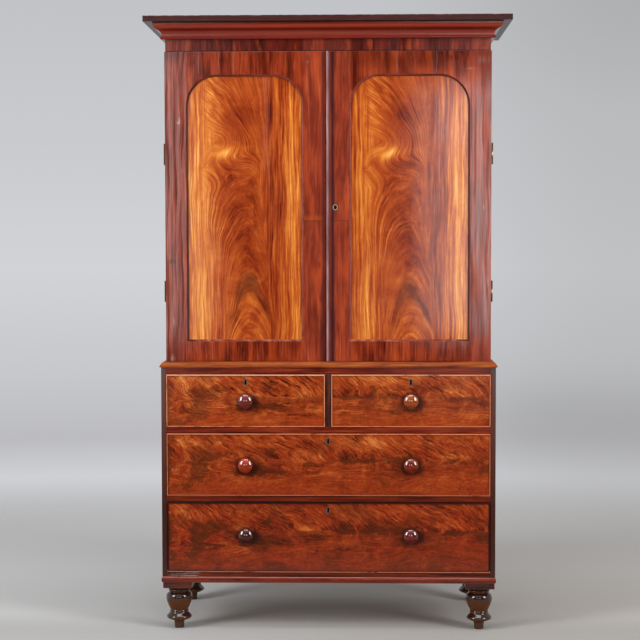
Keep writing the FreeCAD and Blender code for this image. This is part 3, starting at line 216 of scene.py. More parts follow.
class Web:
    """A node tree, of a material, a world or a geometry modifier."""

    def __init__(self, tree: bpy.types.NodeTree) -> None:
        """Keeps the tree."""
        self.tree = tree

    def node(self, kind: str, settings: Options = None, inputs: Options = None) -> bpy.types.Node:
        """Adds one node.

        Args:
            kind: The node's type.
            settings: Its settings, set first; "stops" are a ramp's (place, colour) pairs.
            inputs: A value, a Field or a socket for each of its sockets.

        Returns:
            The node.
        """
        made = self.tree.nodes.new(kind)
        for name, value in (settings or {}).items():
            if name == "stops":
                self._set_stops(made.color_ramp.elements, value)
            else:
                setattr(made, name, value)
        for key, value in (inputs or {}).items():
            if isinstance(value, Field):
                value = value.socket
            if isinstance(value, bpy.types.NodeSocket):
                self.tree.links.new(value, made.inputs[key])
            else:
                made.inputs[key].default_value = value
        return made

    @staticmethod
    def _set_stops(elements: Any, stops: Stops) -> None:
        """Gives a ramp its stops."""
        while len(elements) < len(stops):
            elements.new(1.0)
        for element, (place, code) in zip(elements, stops):
            element.position = place
            element.color = tone(code)

    def take(
        self, kind: str, settings: Options = None, inputs: Options = None, output: int | str = 0
    ) -> Field:
        """Adds one node and gives one of its outputs."""
        return Field(self, self.node(kind, settings, inputs).outputs[output])

    def split(self, vector: Field) -> Spot:
        """The three parts of a vector."""
        outputs = self.node("ShaderNodeSeparateXYZ", None, {0: vector}).outputs
        return Field(self, outputs[0]), Field(self, outputs[1]), Field(self, outputs[2])

    def point(self, x: Term, y: Term, z: Term) -> Field:
        """The vector of three parts."""
        return self.take("ShaderNodeCombineXYZ", None, {0: x, 1: y, 2: z})

    @cached_property
    def place(self) -> Spot:
        """Where a point lies on the press, in millimetres."""
        x, y, z = self.split(self.take("ShaderNodeTexCoord", output="Object"))
        return x * (1 / MM), y * (1 / MM), z * (1 / MM)

    def facing(self, axis: Axis) -> Field:
        """How far the surface faces along an axis, from -1 to 1."""
        return self.split(self.take("ShaderNodeTexCoord", output="Normal"))[axis.value]

    def arris(self) -> Field:
        """One on the rounded edges of square timber, zero on its faces."""
        sides = [abs(self.facing(axis)) for axis in Axis]
        return sides[0].most(sides[1]).most(sides[2]).smooth(0.985, 0.86)

    def noise(
        self,
        x: Term,
        y: Term,
        z: Term = 0.0,
        detail: float = 2.0,
        rough: float = 0.55,
        twist: float = 0.0,
    ) -> Field:
        """Soft noise about one half at a place given in cycles.

        Args:
            x: First coordinate.
            y: Second coordinate.
            z: Third coordinate, or a seed.
            detail: Number of finer layers.
            rough: Weight of each finer layer.
            twist: How far the noise bends itself.

        Returns:
            The noise, mostly from 0.25 to 0.75.
        """
        inputs = {"Vector": self.point(x, y, z), "Scale": 1.0, "Detail": detail}
        inputs.update({"Roughness": rough, "Distortion": twist})
        return self.take("ShaderNodeTexNoise", None, inputs)

    def drawn(
        self,
        grain: Axis,
        across: float,
        along: float,
        *shifts: Term,
        rough: float,
        detail: float = 3.0,
    ) -> Field:
        """Soft noise that is drawn out along the grain.

        Args:
            grain: The way the grain runs.
            across: Cycles per millimetre across the grain.
            along: Cycles per millimetre along it.
            *shifts: What is added beside the grain, in cycles.
            rough: Weight of each finer layer.
            detail: Number of finer layers.

        Returns:
            The noise, as from noise().
        """
        scaled = [part * across for part in self.place]
        scaled[grain.value] = self.place[grain.value] * along
        beside = (grain.value + 1) % len(scaled)
        for shift in shifts:
            scaled[beside] = scaled[beside] + shift
        return self.noise(*scaled, detail=detail, rough=rough)

    def dice(self, x: Term, y: Term, z: Term) -> Field:
        """A random number from 0 to 1 for each whole place."""
        inputs = {"Vector": self.point(x, y, z)}
        return self.take("ShaderNodeTexWhiteNoise", {"noise_dimensions": "3D"}, inputs)

    def ramp(self, value: Field, stops: Stops) -> Field:
        """A colour for each value."""
        return self.take("ShaderNodeValToRGB", {"stops": stops}, {0: value})

    def mix(self, share: Term, low: Any, high: Any) -> Field:
        """Mixes two colours.

        Args:
            share: How much of the second colour, from 0 to 1.
            low: The first colour, a Field or a hexadecimal code.
            high: The second colour.

        Returns:
            The mixed colour.
        """
        low, high = (tone(c) if isinstance(c, str) else c for c in (low, high))
        settings = {"data_type": "RGBA", "blend_type": "MIX", "clamp_factor": True}
        return self.take("ShaderNodeMix", settings, {0: share, 6: low, 7: high}, 2)

    def surface(
        self,
        colour: Field,
        roughness: Term,
        height: Field | None = None,
        depth: float = 0.0003,
        **options: Term,
    ) -> Field:
        """Adds one polished surface.

        Args:
            colour: The base colour.
            roughness: How matt it is.
            height: A height from 0 to 1 for its small relief.
            depth: What a height of one stands for, in metres.
            **options: The rest of its inputs, by their names in POLISH.

        Returns:
            The shader.
        """
        inputs = {"Base Color": colour, "Roughness": roughness}
        for option, (name, usual) in POLISH.items():
            inputs[name] = options.get(option, usual)
        if height is not None:
            bump = {"Strength": 1.0, "Distance": depth, "Height": height}
            inputs["Normal"] = self.take("ShaderNodeBump", None, bump)
        return self.take("ShaderNodeBsdfPrincipled", None, inputs)

    def join(self, share: Field, first: Field, second: Field) -> Field:
        """Mixes two shaders by the share of the second."""
        return self.take("ShaderNodeMixShader", None, {0: share, 1: first, 2: second})

    def end(self, kind: str, shader: Field) -> None:
        """Ends a material or a world with a shader."""
        self.node(kind, None, {"Surface": shader})

    def polish(self, *terms: Any, **options: Any) -> None:
        """Ends a material with one polished surface, given as for surface()."""
        self.end("ShaderNodeOutputMaterial", self.surface(*terms, **options))


# -------------------------------------------------------------------- finishes


@dataclass(frozen=True)
class Finish:
    """A surface finish, and the slot of the record that it belongs to."""

    name: str
    slot: str

    def material(self) -> bpy.types.Material:
        """The finish as a material, made once."""
        made = bpy.data.materials.get(self.name)
        if made is None:
            made = bpy.data.materials.new(self.name)
            made.use_nodes = True
            made.node_tree.nodes.clear()
            self.paint(Web(made.node_tree))
        return made

    def paint(self, web: Web) -> None:
        """Builds the nodes.

        Args:
            web: The material's tree, still empty.
        """
        raise NotImplementedError


@dataclass(frozen=True)
class Patch:
    """A lighter or darker cloud: its middle, its half widths and how far it lifts the tone."""

    p: float
    q: float
    wide: float
    high: float
    lift: float

    def over(self, p: Field, q: Field) -> Field:
        """How much the cloud lifts the tone at a place."""
        across, along = (p - self.p) / self.wide, (q - self.q) / self.high
        return (-(across * across + along * along)).exponent() * self.lift


def patches(*rows: tuple[float, float, float, float, float]) -> tuple[Patch, ...]:
    """Makes clouds of rows of numbers."""
    return tuple(Patch(*row) for row in rows)


def clouds(given: Sequence[Patch], p: Field, q: Field) -> Field:
    """Adds up the clouds of a figure.

    Args:
        given: The clouds, at least one.
        p: Across, in the clouds' own unit.
        q: Along.

    Returns:
        The lift of the tone.
    """
    total = given[0].over(p, q)
    for patch in given[1:]:
        total = total + patch.over(p, q)
    return total


def wear(web: Web, colour: Field, x: Field, z: Field, seed: float, amount: float) -> Field:
    """Adds small knocks and fine scratches to a colour.

    Args:
        web: The material's tree.
        colour: The colour below.
        x: Across, in millimetres.
        z: Up, in millimetres.
        seed: Moves the pattern.
        amount: Strength of the marks.

    Returns:
        The marked colour.
    """
    patch = web.noise(x * 0.012, z * 0.012, seed + 5, 1.0).smooth(0.56, 0.72)
    specks = web.noise(x * 0.16 + z * 0.05, z * 0.22, seed, 1.0, 0.4).smooth(0.745, 0.80)
    lines = web.noise(x * 0.02 + z * 0.03, x * 0.2 - z * 0.02, seed + 3, 1.0, 0.4)
    scratches = lines.bell(0.5, 0.003) * patch
    marks = specks * patch * amount + scratches * (0.3 * amount)
    return web.mix(marks, colour, BARE)


FLAME_RAMP = (
    (0.0, "#56160a"), (0.17, "#802b11"), (0.34, "#a2411a"), (0.50, "#be5922"),
    (0.68, "#da7c30"), (0.86, "#f0a048"), (1.0, "#fcc268"),
)
CROTCH_RAMP = (
    (0.0, "#351008"), (0.2, "#5e1f0f"), (0.4, "#862f13"),
    (0.6, "#a6431a"), (0.8, "#c46228"), (1.0, "#e28c48"),
)
DUSTY_RAMP = (
    (0.05, "#301b18"), (0.35, "#3a211b"), (0.55, "#52302a"), (0.92, "#664640"), (0.97, "#55504a"),
)
# Painted highlights and painted shade in bands up the cornice's profile, by height.
CORNICE_SHADING_RAMP = (
    (0.0, "#5a0c06"), (0.05, "#6c2018"), (0.15, "#7a2c20"), (0.21, "#82403c"), (0.28, "#96503e"),
    (0.34, "#80301c"), (0.38, "#6a180c"), (0.46, "#6a160c"), (0.51, "#9a2e18"), (0.59, "#cc5236"),
    (0.645, "#963214"), (0.68, "#642010"), (0.72, "#3a140c"),
)
WALL_RAMP = (
    (0.0, "#b6b6b6"), (0.08, "#b1b1b1"), (0.16, "#bbbbbc"), (0.21, "#cfd0d4"), (0.255, "#bcbcc0"),
    (0.33, "#c6c7cb"), (0.46, "#d2d3d7"), (0.62, "#c9cace"), (1.0, "#b8b9bc"),
)

# Clouds of the panels' figure, in panel widths from the left and from the top.
FLAME_CLOUDS = patches(
    (0.34, 0.66, 0.12, 0.06, 0.42), (0.13, 0.95, 0.09, 0.30, 0.14), (0.20, 0.30, 0.05, 0.26, 0.14),
    (0.48, 1.05, 0.17, 0.42, -0.14), (0.58, 1.50, 0.12, 0.22, -0.08),
    (0.50, 0.33, 0.16, 0.12, -0.17),
)
FLAME_CUTS = patches((0.70, 0.36, 0.035, 0.14, -0.20), (0.765, 1.25, 0.05, 0.60, -0.14))
FLAME_EDGES = patches(
    (0.92, 0.08, 0.12, 0.16, -0.14), (0.06, 0.12, 0.08, 0.22, -0.10),
    (0.90, 0.95, 0.05, 0.55, 0.14), (0.50, 2.10, 0.14, 0.12, 0.08),
    (0.66, 1.85, 0.05, 0.25, -0.12),
)

# Clouds of a drawer front's figure, in leaf widths and in units of 100 mm from the knobs up.
LEFT_TONES = patches(
    (0.10, 0.75, 0.08, 0.30, 0.20), (0.33, 0.80, 0.16, 0.2, 0.10), (0.44, 0.30, 0.06, 0.18, 0.14),
    (0.62, 0.45, 0.06, 0.2, -0.16), (0.84, 0.18, 0.12, 0.14, 0.14),
    (0.66, -0.22, 0.10, 0.16, -0.18), (0.93, -0.05, 0.06, 0.10, -0.10),
    (0.46, -0.62, 0.16, 0.22, 0.12), (0.12, -0.10, 0.05, 0.25, 0.08),
)
RIGHT_TONES = patches(
    (0.10, 0.26, 0.05, 0.14, -0.2), (0.25, 0.24, 0.05, 0.18, -0.2), (0.62, 0.42, 0.08, 0.25, -0.1),
    (0.30, 0.78, 0.30, 0.22, 0.12), (0.75, 0.38, 0.08, 0.15, 0.16), (0.92, 0.55, 0.06, 0.25, -0.08),
    (0.75, -0.55, 0.25, 0.2, 0.1), (0.22, -0.50, 0.20, 0.2, 0.02), (0.56, -0.88, 0.09, 0.14, 0.16),
)
LEFT_STAINS = patches(
    (0.01, 0.1, 0.025, 0.6, 0.8), (0.19, -0.15, 0.06, 0.50, 0.85), (0.30, 0.30, 0.10, 0.19, 0.8),
    (0.56, -0.08, 0.05, 0.22, 0.5), (0.67, -0.22, 0.12, 0.16, 0.55), (0.63, 0.48, 0.06, 0.18, 0.5),
    (0.88, -0.02, 0.10, 0.10, 0.4), (0.08, -0.75, 0.10, 0.18, 0.5), (0.33, -0.45, 0.10, 0.20, 0.35),
    (0.14, 0.45, 0.05, 0.22, 0.3),
)
RIGHT_STAINS = patches(
    (0.15, 0.12, 0.14, 0.10, 0.75), (0.42, 0.16, 0.14, 0.16, 0.6), (0.80, 0.08, 0.12, 0.12, 0.7),
    (0.97, -0.10, 0.05, 0.22, 0.7), (0.12, 0.36, 0.03, 0.18, 0.5), (0.27, 0.36, 0.03, 0.18, 0.5),
)


@dataclass(frozen=True)
class FlamePanel(Finish):
    """Flame veneer of a door panel: a feather of nested arches with straight grain beside it."""

    left: float
    foot: float
    wide: float
    tall: float
    seed: float
    axis: float = 0.52
    gain: float = 1.0
    lift: float = 0.0
    left_lift: float = 0.24
    right_lift: float = 0.10
    cut: float = 1.0
    ring: float = 1.79  # which grain line the olive ring follows

    def paint(self, web: Web) -> None:
        """Builds the nodes."""
        x, _, z = web.place
        p = (x - self.left) * (1 / self.wide)
        q = (self.foot + self.tall - z) * (1 / self.wide)
        tilt = web.noise(p * 2.6, q * 1.7, self.seed, 2.0) - 0.5
        swell = web.noise(p * 2.2, q * 2.4, self.seed + 9, 2.0) - 0.5
        ripple = web.noise(p * 15.0, q * 8.0, self.seed + 4, 2.0, 0.5) - 0.5
        knot = Patch(0.33, 0.64, 0.16, 0.13, 1.9)
        whirl = knot.over(p, q)
        turned_p = p + whirl * (q - knot.q) + tilt * 0.10 + ripple * 0.010
        turned_q = q - whirl * (p - knot.p) + swell * 0.16 + ripple * 0.018
        lines, sides = self._arches(turned_p, turned_q)
        bands = web.noise(lines * 5.0, turned_p * 2.2, self.seed + 1, 3.0, 0.6)
        ribs = web.noise(lines * 30.0, turned_p * 6.0, self.seed + 2, 3.0, 0.62)
        mottle = web.noise(p * 7.0, q * 6.0, self.seed + 13, 5.0, 0.68, 0.5)
        plume = self._plume(web, (p, q), turned_p, lines, (bands, ribs, mottle))
        figure = sides.blend(plume, self._straight(web, (p, q), tilt, mottle))
        value = self._tones(turned_p * 0.5 + p * 0.5, q, lines) + figure * (0.68 * self.gain)
        pores = web.noise(p * 210.0, q * 16.0, self.seed + 8, 2.0, 0.5)
        colour = web.ramp(value - pores.smooth(0.56, 0.72) * 0.12, FLAME_RAMP)
        shade = web.noise(p * 9.0, q * 9.0, self.seed + 12, 3.0, 0.6)
        olive = lines.bell(self.ring, 0.085) * p.bell(self.axis, 0.15) * q.smooth(1.5, 1.75)
        colour = web.mix(olive * shade.smooth(0.25, 0.6) * 0.6, colour, "#5e4022")
        colour = web.mix(self._rim(x, z) * 0.25, colour, "#7c2c12")
        colour = wear(web, colour, x, z, self.seed, 0.5)
        web.polish(colour, 0.10 + (bands - 0.5) * 0.05, ribs * 0.6 + tilt * 1.4, 0.00018)

    def _plume(
        self, web: Web, place: tuple[Field, Field], turned_p: Field, lines: Field, grain: Spot
    ) -> Field:
        """The feather's figure.

        Args:
            web: The material's tree.
            place: Across and down, in panel widths.
            turned_p: Across, after the knot's turn.
            lines: The grain lines.
            grain: The bands, the ribs and the mottle.

        Returns:
            The figure, about zero.
        """
        (p, q), (bands, ribs, mottle) = place, grain
        fibres = web.noise(lines * 76.0, turned_p * 12.0, self.seed + 7, 2.0, 0.55)
        vivid = web.noise(p * 3.4, q * 2.6, self.seed + 14, 2.0).smooth(0.34, 0.62).blend(0.6, 1.35)
        core = p.bell(self.axis + 0.02, 0.11) * q.smooth(0.7, 0.95)
        combed = vivid * (1.0 - core * 0.6)
        plume = (bands - 0.5) * 0.6 + ((ribs - 0.5) * 1.15 + (fibres - 0.5) * 1.0) * combed
        plume = plume + (mottle - 0.5) * (0.75 + core * 0.75)
        nest = web.noise(lines * 13.0, turned_p * 2.0, self.seed + 15, 3.0, 0.6)
        return plume + (nest - 0.5) * (q.smooth(1.86, 2.05) * p.bell(self.axis, 0.24)) * 2.0

    def _straight(self, web: Web, place: tuple[Field, Field], tilt: Field, mottle: Field) -> Field:
        """The straight grain beside the feather.

        Args:
            web: The material's tree.
            place: Across and down, in panel widths.
            tilt: How the grain leans.
            mottle: The mottle.

        Returns:
            The figure, about zero.
        """
        p, q = place
        streaks = web.noise(p * 15.0 + tilt * 0.8, q * 0.7, self.seed + 3, 4.0, 0.66)
        hairs = web.noise(p * 66.0 + tilt * 3.4, q * 2.4, self.seed + 6, 3.0, 0.62)
        strokes = web.noise(p * 20.0 + tilt * 1.6, q * 1.5, self.seed + 11, 3.0, 0.55)
        straight = (streaks - 0.5) * 1.8 + (hairs - 0.5) * 1.8 + (mottle - 0.5) * 0.35
        return straight - strokes.smooth(0.54, 0.66) * p.bell(0.78, 0.13) * (0.30 * self.cut)

    def _arches(self, p: Field, q: Field) -> tuple[Field, Field]:
        """The feather's grain lines.

        Args:
            p: Across, in panel widths from the left.
            q: Down, in panel widths from the top.

        Returns:
            A value that is constant along each grain line, and how straight the grain is.
        """
        off = p - self.axis
        low = q.smooth(0.85, 2.05)
        curve = off.smooth(-0.01, 0.01).blend(low.blend(2.6, 13.0), low.blend(24.0, 8.0))
        arch = q - curve * off * off
        slope = curve * abs(off) * 2.0
        lean = (p / 0.72).most(0.0)
        cube = (lean * lean * lean).least(0.93)
        sweep = q - p * 0.85 - 0.30 * cube / (1 - cube)
        upper = (q + p * 0.15).smooth(1.0, 0.62)
        lines = upper.blend(arch, sweep + 0.45)
        sides = (slope.smooth(3.2, 7.5) * (1.0 - upper)).most((p - 0.66).smooth(0.0, 0.06))
        left_strip = (p - 0.10).smooth(0.11, 0.0)
        return lines, sides.most(left_strip)

    def _tones(self, p: Field, q: Field, lines: Field) -> Field:
        """The lighter and darker parts of the leaf.

        Args:
            p: Across, in panel widths.
            q: Down, in panel widths.
            lines: The grain lines.

        Returns:
            The tone, from zero to one.
        """
        cuts = [Patch(c.p, c.q, c.wide, c.high, c.lift * self.cut) for c in FLAME_CUTS]
        base = 0.42 + self.lift + p.smooth(0.36, 0.08) * self.left_lift
        base = base + p.smooth(0.76, 0.92) * self.right_lift
        ring = lines.bell(self.ring, 0.09) * p.bell(self.axis, 0.17) * q.smooth(1.5, 1.75)
        return base + clouds((*FLAME_CLOUDS, *cuts, *FLAME_EDGES), p, q) - ring * 0.16

    def _rim(self, x: Field, z: Field) -> Field:
        """One at the panel's edges and zero 9 mm in: the panel is made darker there."""
        side = (x - self.left).least(self.left + self.wide - x)
        end = (z - self.foot).least(self.foot + self.tall - z)
        return side.least(end).smooth(9.0, 0.0)


@dataclass(frozen=True)
class CrotchFront(Finish):
    """Crotch veneer of the drawer fronts: leaves whose feather lies level at the knobs' height."""

    centre: float
    tall: float
    lift: float = 0.0
    red: float = 0.0
    stain: float = 0.55
    seed: float = 20.0
    spread: float = 0.0
    knob: float = 291.5
    leaf: float = 571.0

    def paint(self, web: Web) -> None:
        """Builds the nodes."""
        x, _, z = web.place
        p = (x + self.leaf) * (1 / self.leaf)
        r = (z - self.centre) * (1 / 100.0)
        right, seed = p.smooth(0.94, 1.06), self.seed
        tilt = web.noise(p * 3.4, r * 0.9, seed, 2.0) - 0.5
        swell = web.noise(p * 4.0, r * 1.1, seed + 2.5, 2.0) - 0.5
        ripple = web.noise(p * 24.0, r * 5.0, seed + 4.5, 3.0, 0.6) - 0.5
        u = p * 5.71 + tilt * 0.8 + ripple * 0.10
        v = r + swell * 0.4 + ripple * 0.08
        figure, bands, ribs = self._figure(web, p, u, v)
        tones = right.blend(0.50 + clouds(LEFT_TONES, p, r), 0.50 + clouds(RIGHT_TONES, p - 1.0, r))
        value = tones + figure * 0.90
        value = value + (self.lift + r.smooth(0.1, 1.0) * 0.09)
        colour = web.mix(self.red, web.ramp(value, CROTCH_RAMP), "#8a2a10")
        hue = web.noise(u * 1.3, v * 1.6, seed + 12.5, 3.0, 0.6)
        colour = web.mix(hue.smooth(0.52, 0.68) * 0.35, colour, "#9c2c14")
        spill = right.blend(clouds(LEFT_STAINS, p, r), clouds(RIGHT_STAINS, p - 1.0, r))
        rag = web.noise(u * 3.4, v * 4.4, seed * 3.0 + 14.5, 5.0, 0.72, 0.6)
        loose = web.noise(u * 0.9, v * 1.5, seed * 3.0 + 15.5, 5.0, 0.66, 0.4)
        spill = (spill + (rag - 0.5) * 2.6).smooth(0.28, 0.50)
        spill = spill.most(loose.smooth(0.53 - self.spread, 0.62 - self.spread) * 0.55)
        colour = web.mix(spill * self.stain, colour, "#4c220e")
        # painted shadow, with old wax, round the knobs, and darker top and bottom edges
        colour = web.mix(self._knob_shadow_and_grime(web, x, z) * 0.8, colour, "#27120a")
        colour = wear(web, colour, x, z, self.seed + self.centre * 0.01, 0.8)
        web.polish(colour, 0.15 + (bands - 0.5) * 0.06, ribs * 0.6 + tilt * 1.4, 0.00018)

    @staticmethod
    def _feather(p: Field, u: Field, v: Field) -> tuple[Field, Field]:
        """The grain lines of the leaves.

        Args:
            p: Across, in leaf widths.
            u: Across, in units of 100 mm, a little disturbed.
            v: Up from the knobs, in units of 100 mm, a little disturbed.

        Returns:
            A value that is constant along each grain line, and the way along it.
        """
        above = v.smooth(-0.08, 0.16)
        wave = (p * (2 * math.pi) - 0.63).sine()
        plumes = v + u * 0.9 + wave * 0.27 + (v * v) * 0.12
        bones = v * 1.2 - u * 0.8
        level = v * 1.5 - u * 0.10 + (p * (2 * math.pi)).sine() * 0.25
        below = v.smooth(-0.05, -0.5).blend(bones, level)
        return above.blend(below, plumes), above.blend(u * 0.9, u * 0.6 - v * 0.9)

    def _figure(self, web: Web, p: Field, u: Field, v: Field) -> Spot:
        """The figure of the veneer.

        Args:
            web: The material's tree.
            p: Across, in leaf widths.
            u: Across, in units of 100 mm, a little disturbed.
            v: Up from the knobs, in units of 100 mm, a little disturbed.

        Returns:
            The figure, about zero, and its bands and ribs.
        """
        lines, along = self._feather(p, u, v)
        bands = web.noise(lines * 1.9, along * 0.7, self.seed + 1.5, 4.0, 0.6)
        ribs = web.noise(lines * 12.0, along * 1.6, self.seed + 3.5, 3.0, 0.62)
        hairs = web.noise(lines * 28.0, along * 3.4, self.seed + 5.5, 2.0, 0.6)
        strokes = web.noise(lines * 11.0, along * 1.2, self.seed + 9.5, 2.0, 0.5)
        mottle = web.noise(u * 1.7, v * 2.2, self.seed + 6.5, 4.0, 0.65, 0.8)
        fleck = web.noise(u * 9.0, v * 11.0, self.seed + 7.5, 2.0, 0.6)
        smoother = v.smooth(-0.3, -0.7)
        figure = (bands - 0.5) * 0.75 + (ribs - 0.5) * 1.15 + (hairs - 0.5) * 0.8
        figure = figure * (1.0 - smoother * 0.55) + (fleck - 0.5) * 0.45
        figure = figure + (mottle - 0.5) * (0.5 + v.bell(0.02, 0.36) * 0.7)
        cuts = strokes.smooth(0.57, 0.66) * mottle.smooth(0.62, 0.45) * (1.0 - smoother * 0.8)
        figure = figure - cuts * 0.42 + strokes.smooth(0.42, 0.33) * (1.0 - smoother) * 0.16
        return figure, bands, ribs

    def _knob_shadow_and_grime(self, web: Web, x: Field, z: Field) -> Field:
        """A painted shadow, with old wax, round each knob, offset down and to the right, and a
        darkening along the top and bottom edges of the front.

        Args:
            web: The material's tree.
            x: Across, in millimetres.
            z: Up, in millimetres.

        Returns:
            How strong the painted shadow and the darkening are, from zero to one.
        """
        ragged = (web.noise(x * 0.04, z * 0.04, self.seed + 30, 3.0) - 0.5) * 30
        mirror = x.over(0.0) * 2.0 - 1.0
        dx = (abs(x) - self.knob) * mirror * 0.85 - 4.0
        dz = z - self.centre + 8.0
        knob_shadow = ((dx * dx + dz * dz).root() + ragged).smooth(44.0, 25.0)
        edge = (self.tall / 2 - abs(z - self.centre)).smooth(7.0, 0.0)
        return knob_shadow.most(edge * 0.3)


@dataclass(frozen=True)
class Mahogany(Finish):
    """Straight-grained mahogany, polished."""

    grain: Axis
    tones: tuple[str, str, str, str]
    seed: float = 0.0
    width: float = 16.0
    stretch: float = 14.0
    gain: float = 1.3
    rough: float = 0.16
    worn: float = 0.35
    marks: float = 0.4
    sheen: float = 0.5
    dim: float = 0.0
    torn: tuple[float, float, float, float] | None = None
    soffits: tuple[float, ...] = ()
    ledge: float | None = None

    def paint(self, web: Web) -> None:
        """Builds the nodes."""
        x, y, z = web.place
        colour, figure, hairs = self._timber(web)
        colour = wear(web, self._overlays(web, colour, hairs), x, z + y, self.seed, self.marks)
        web.polish(colour, self.rough + (figure - 0.5) * 0.1, hairs, 0.0002, sheen=self.sheen)

    def _timber(self, web: Web) -> Spot:
        """The bare timber.

        Args:
            web: The material's tree.

        Returns:
            Its colour, its broad figure and its fine grain.
        """
        x, y, z = web.place
        width, long = self.width, self.width * self.stretch
        drift = web.noise(x * 0.006, y * 0.006, z * 0.006 + self.seed, 2.0) - 0.5
        figure = web.drawn(self.grain, 1 / width, 1 / long, drift * 1.6, self.seed, rough=0.6)
        hairs = web.drawn(self.grain, 7 / width, 2.2 / long, drift * 6.0, rough=0.6)
        value = 0.5 + (figure - 0.5) * (1.5 * self.gain) + (hairs - 0.5) * (0.75 * self.gain)
        return self._toned(web, value + drift * 0.7), figure, hairs

    def _toned(self, web: Web, value: Field) -> Field:
        """The timber's colour for a value from zero to one."""
        return web.ramp(value, tuple(zip((0.0, 0.35, 0.65, 1.0), self.tones)))

    def _overlays(self, web: Web, colour: Field, hairs: Field) -> Field:
        """Adds to the bare timber's colour a darkening towards the bottom, worn arrises, painted
        shade under the rails, a painted highlight along a ledge and a torn strip.

        Args:
            web: The material's tree.
            colour: The timber's colour.
            hairs: Its fine grain.

        Returns:
            The colour with these marks.
        """
        _, _, z = web.place
        # darker towards the bottom
        colour = web.mix(z.smooth(600.0, 420.0) * self.dim, colour, "#2a0e08")
        colour = web.mix(web.arris() * self.worn, colour, RUBBED)
        # painted shade, with some dirt, along each rail's lower edge
        for soffit in self.soffits:
            colour = web.mix(z.bell(soffit + 0.6, 2.0) * 0.75, colour, UNDER_RAIL_SHADE)
        # painted highlight along the top edge of the ledge
        if self.ledge is not None:
            lit = z.smooth(self.ledge - 3.2, self.ledge - 1.6)
            colour = web.mix(lit * hairs.smooth(0.3, 0.55) * 0.6, colour, "#d88674")
        return colour if self.torn is None else self._strip(web, colour)

    def _strip(self, web: Web, colour: Field) -> Field:
        """Shows where a strip of the surface has been torn away.

        Args:
            web: The material's tree.
            colour: The colour of the whole surface.

        Returns:
            The colour, with the strip.
        """
        (x, _, z), (west, east, foot, head) = web.place, self.torn
        edge = (web.noise(x * 0.03, z * 0.2, 31.0, 3.0, 0.6) - 0.5) * 26
        inside = (x + edge).smooth(east, east - 24.0) * x.smooth(west, west + 4.0)
        inside = inside * z.smooth(foot - 1.0, foot + 1.0) * z.smooth(head + 1.0, head - 1.0)
        layers = web.noise(x * 0.010, z * 0.24, 33.0, 3.0, 0.6)
        colour = web.mix(inside * layers.smooth(0.42, 0.48), colour, "#150b08")
        return web.mix(inside * layers.smooth(0.51, 0.54) * 0.85, colour, "#968280")


@dataclass(frozen=True)
class SideFinish(Mahogany):
    """Mahogany of the sides: their front edges are grey with dust above and dark below."""

    foot: float = 150.0
    head: float = 960.0

    def _overlays(self, web: Web, colour: Field, hairs: Field) -> Field:
        """Adds the dust on the front edges and the worn arrises."""
        _, _, z = web.place
        dusty = web.ramp((z - self.foot) * (1 / (self.head - self.foot)), DUSTY_RAMP)
        front = web.facing(Axis.DEEP).smooth(-0.4, -0.8) * z.smooth(self.head, self.head - 4.0)
        colour = web.mix(front * (0.65 + hairs * 0.25), colour, dusty)
        return web.mix((1.0 - front) * web.arris() * self.worn, colour, RUBBED)


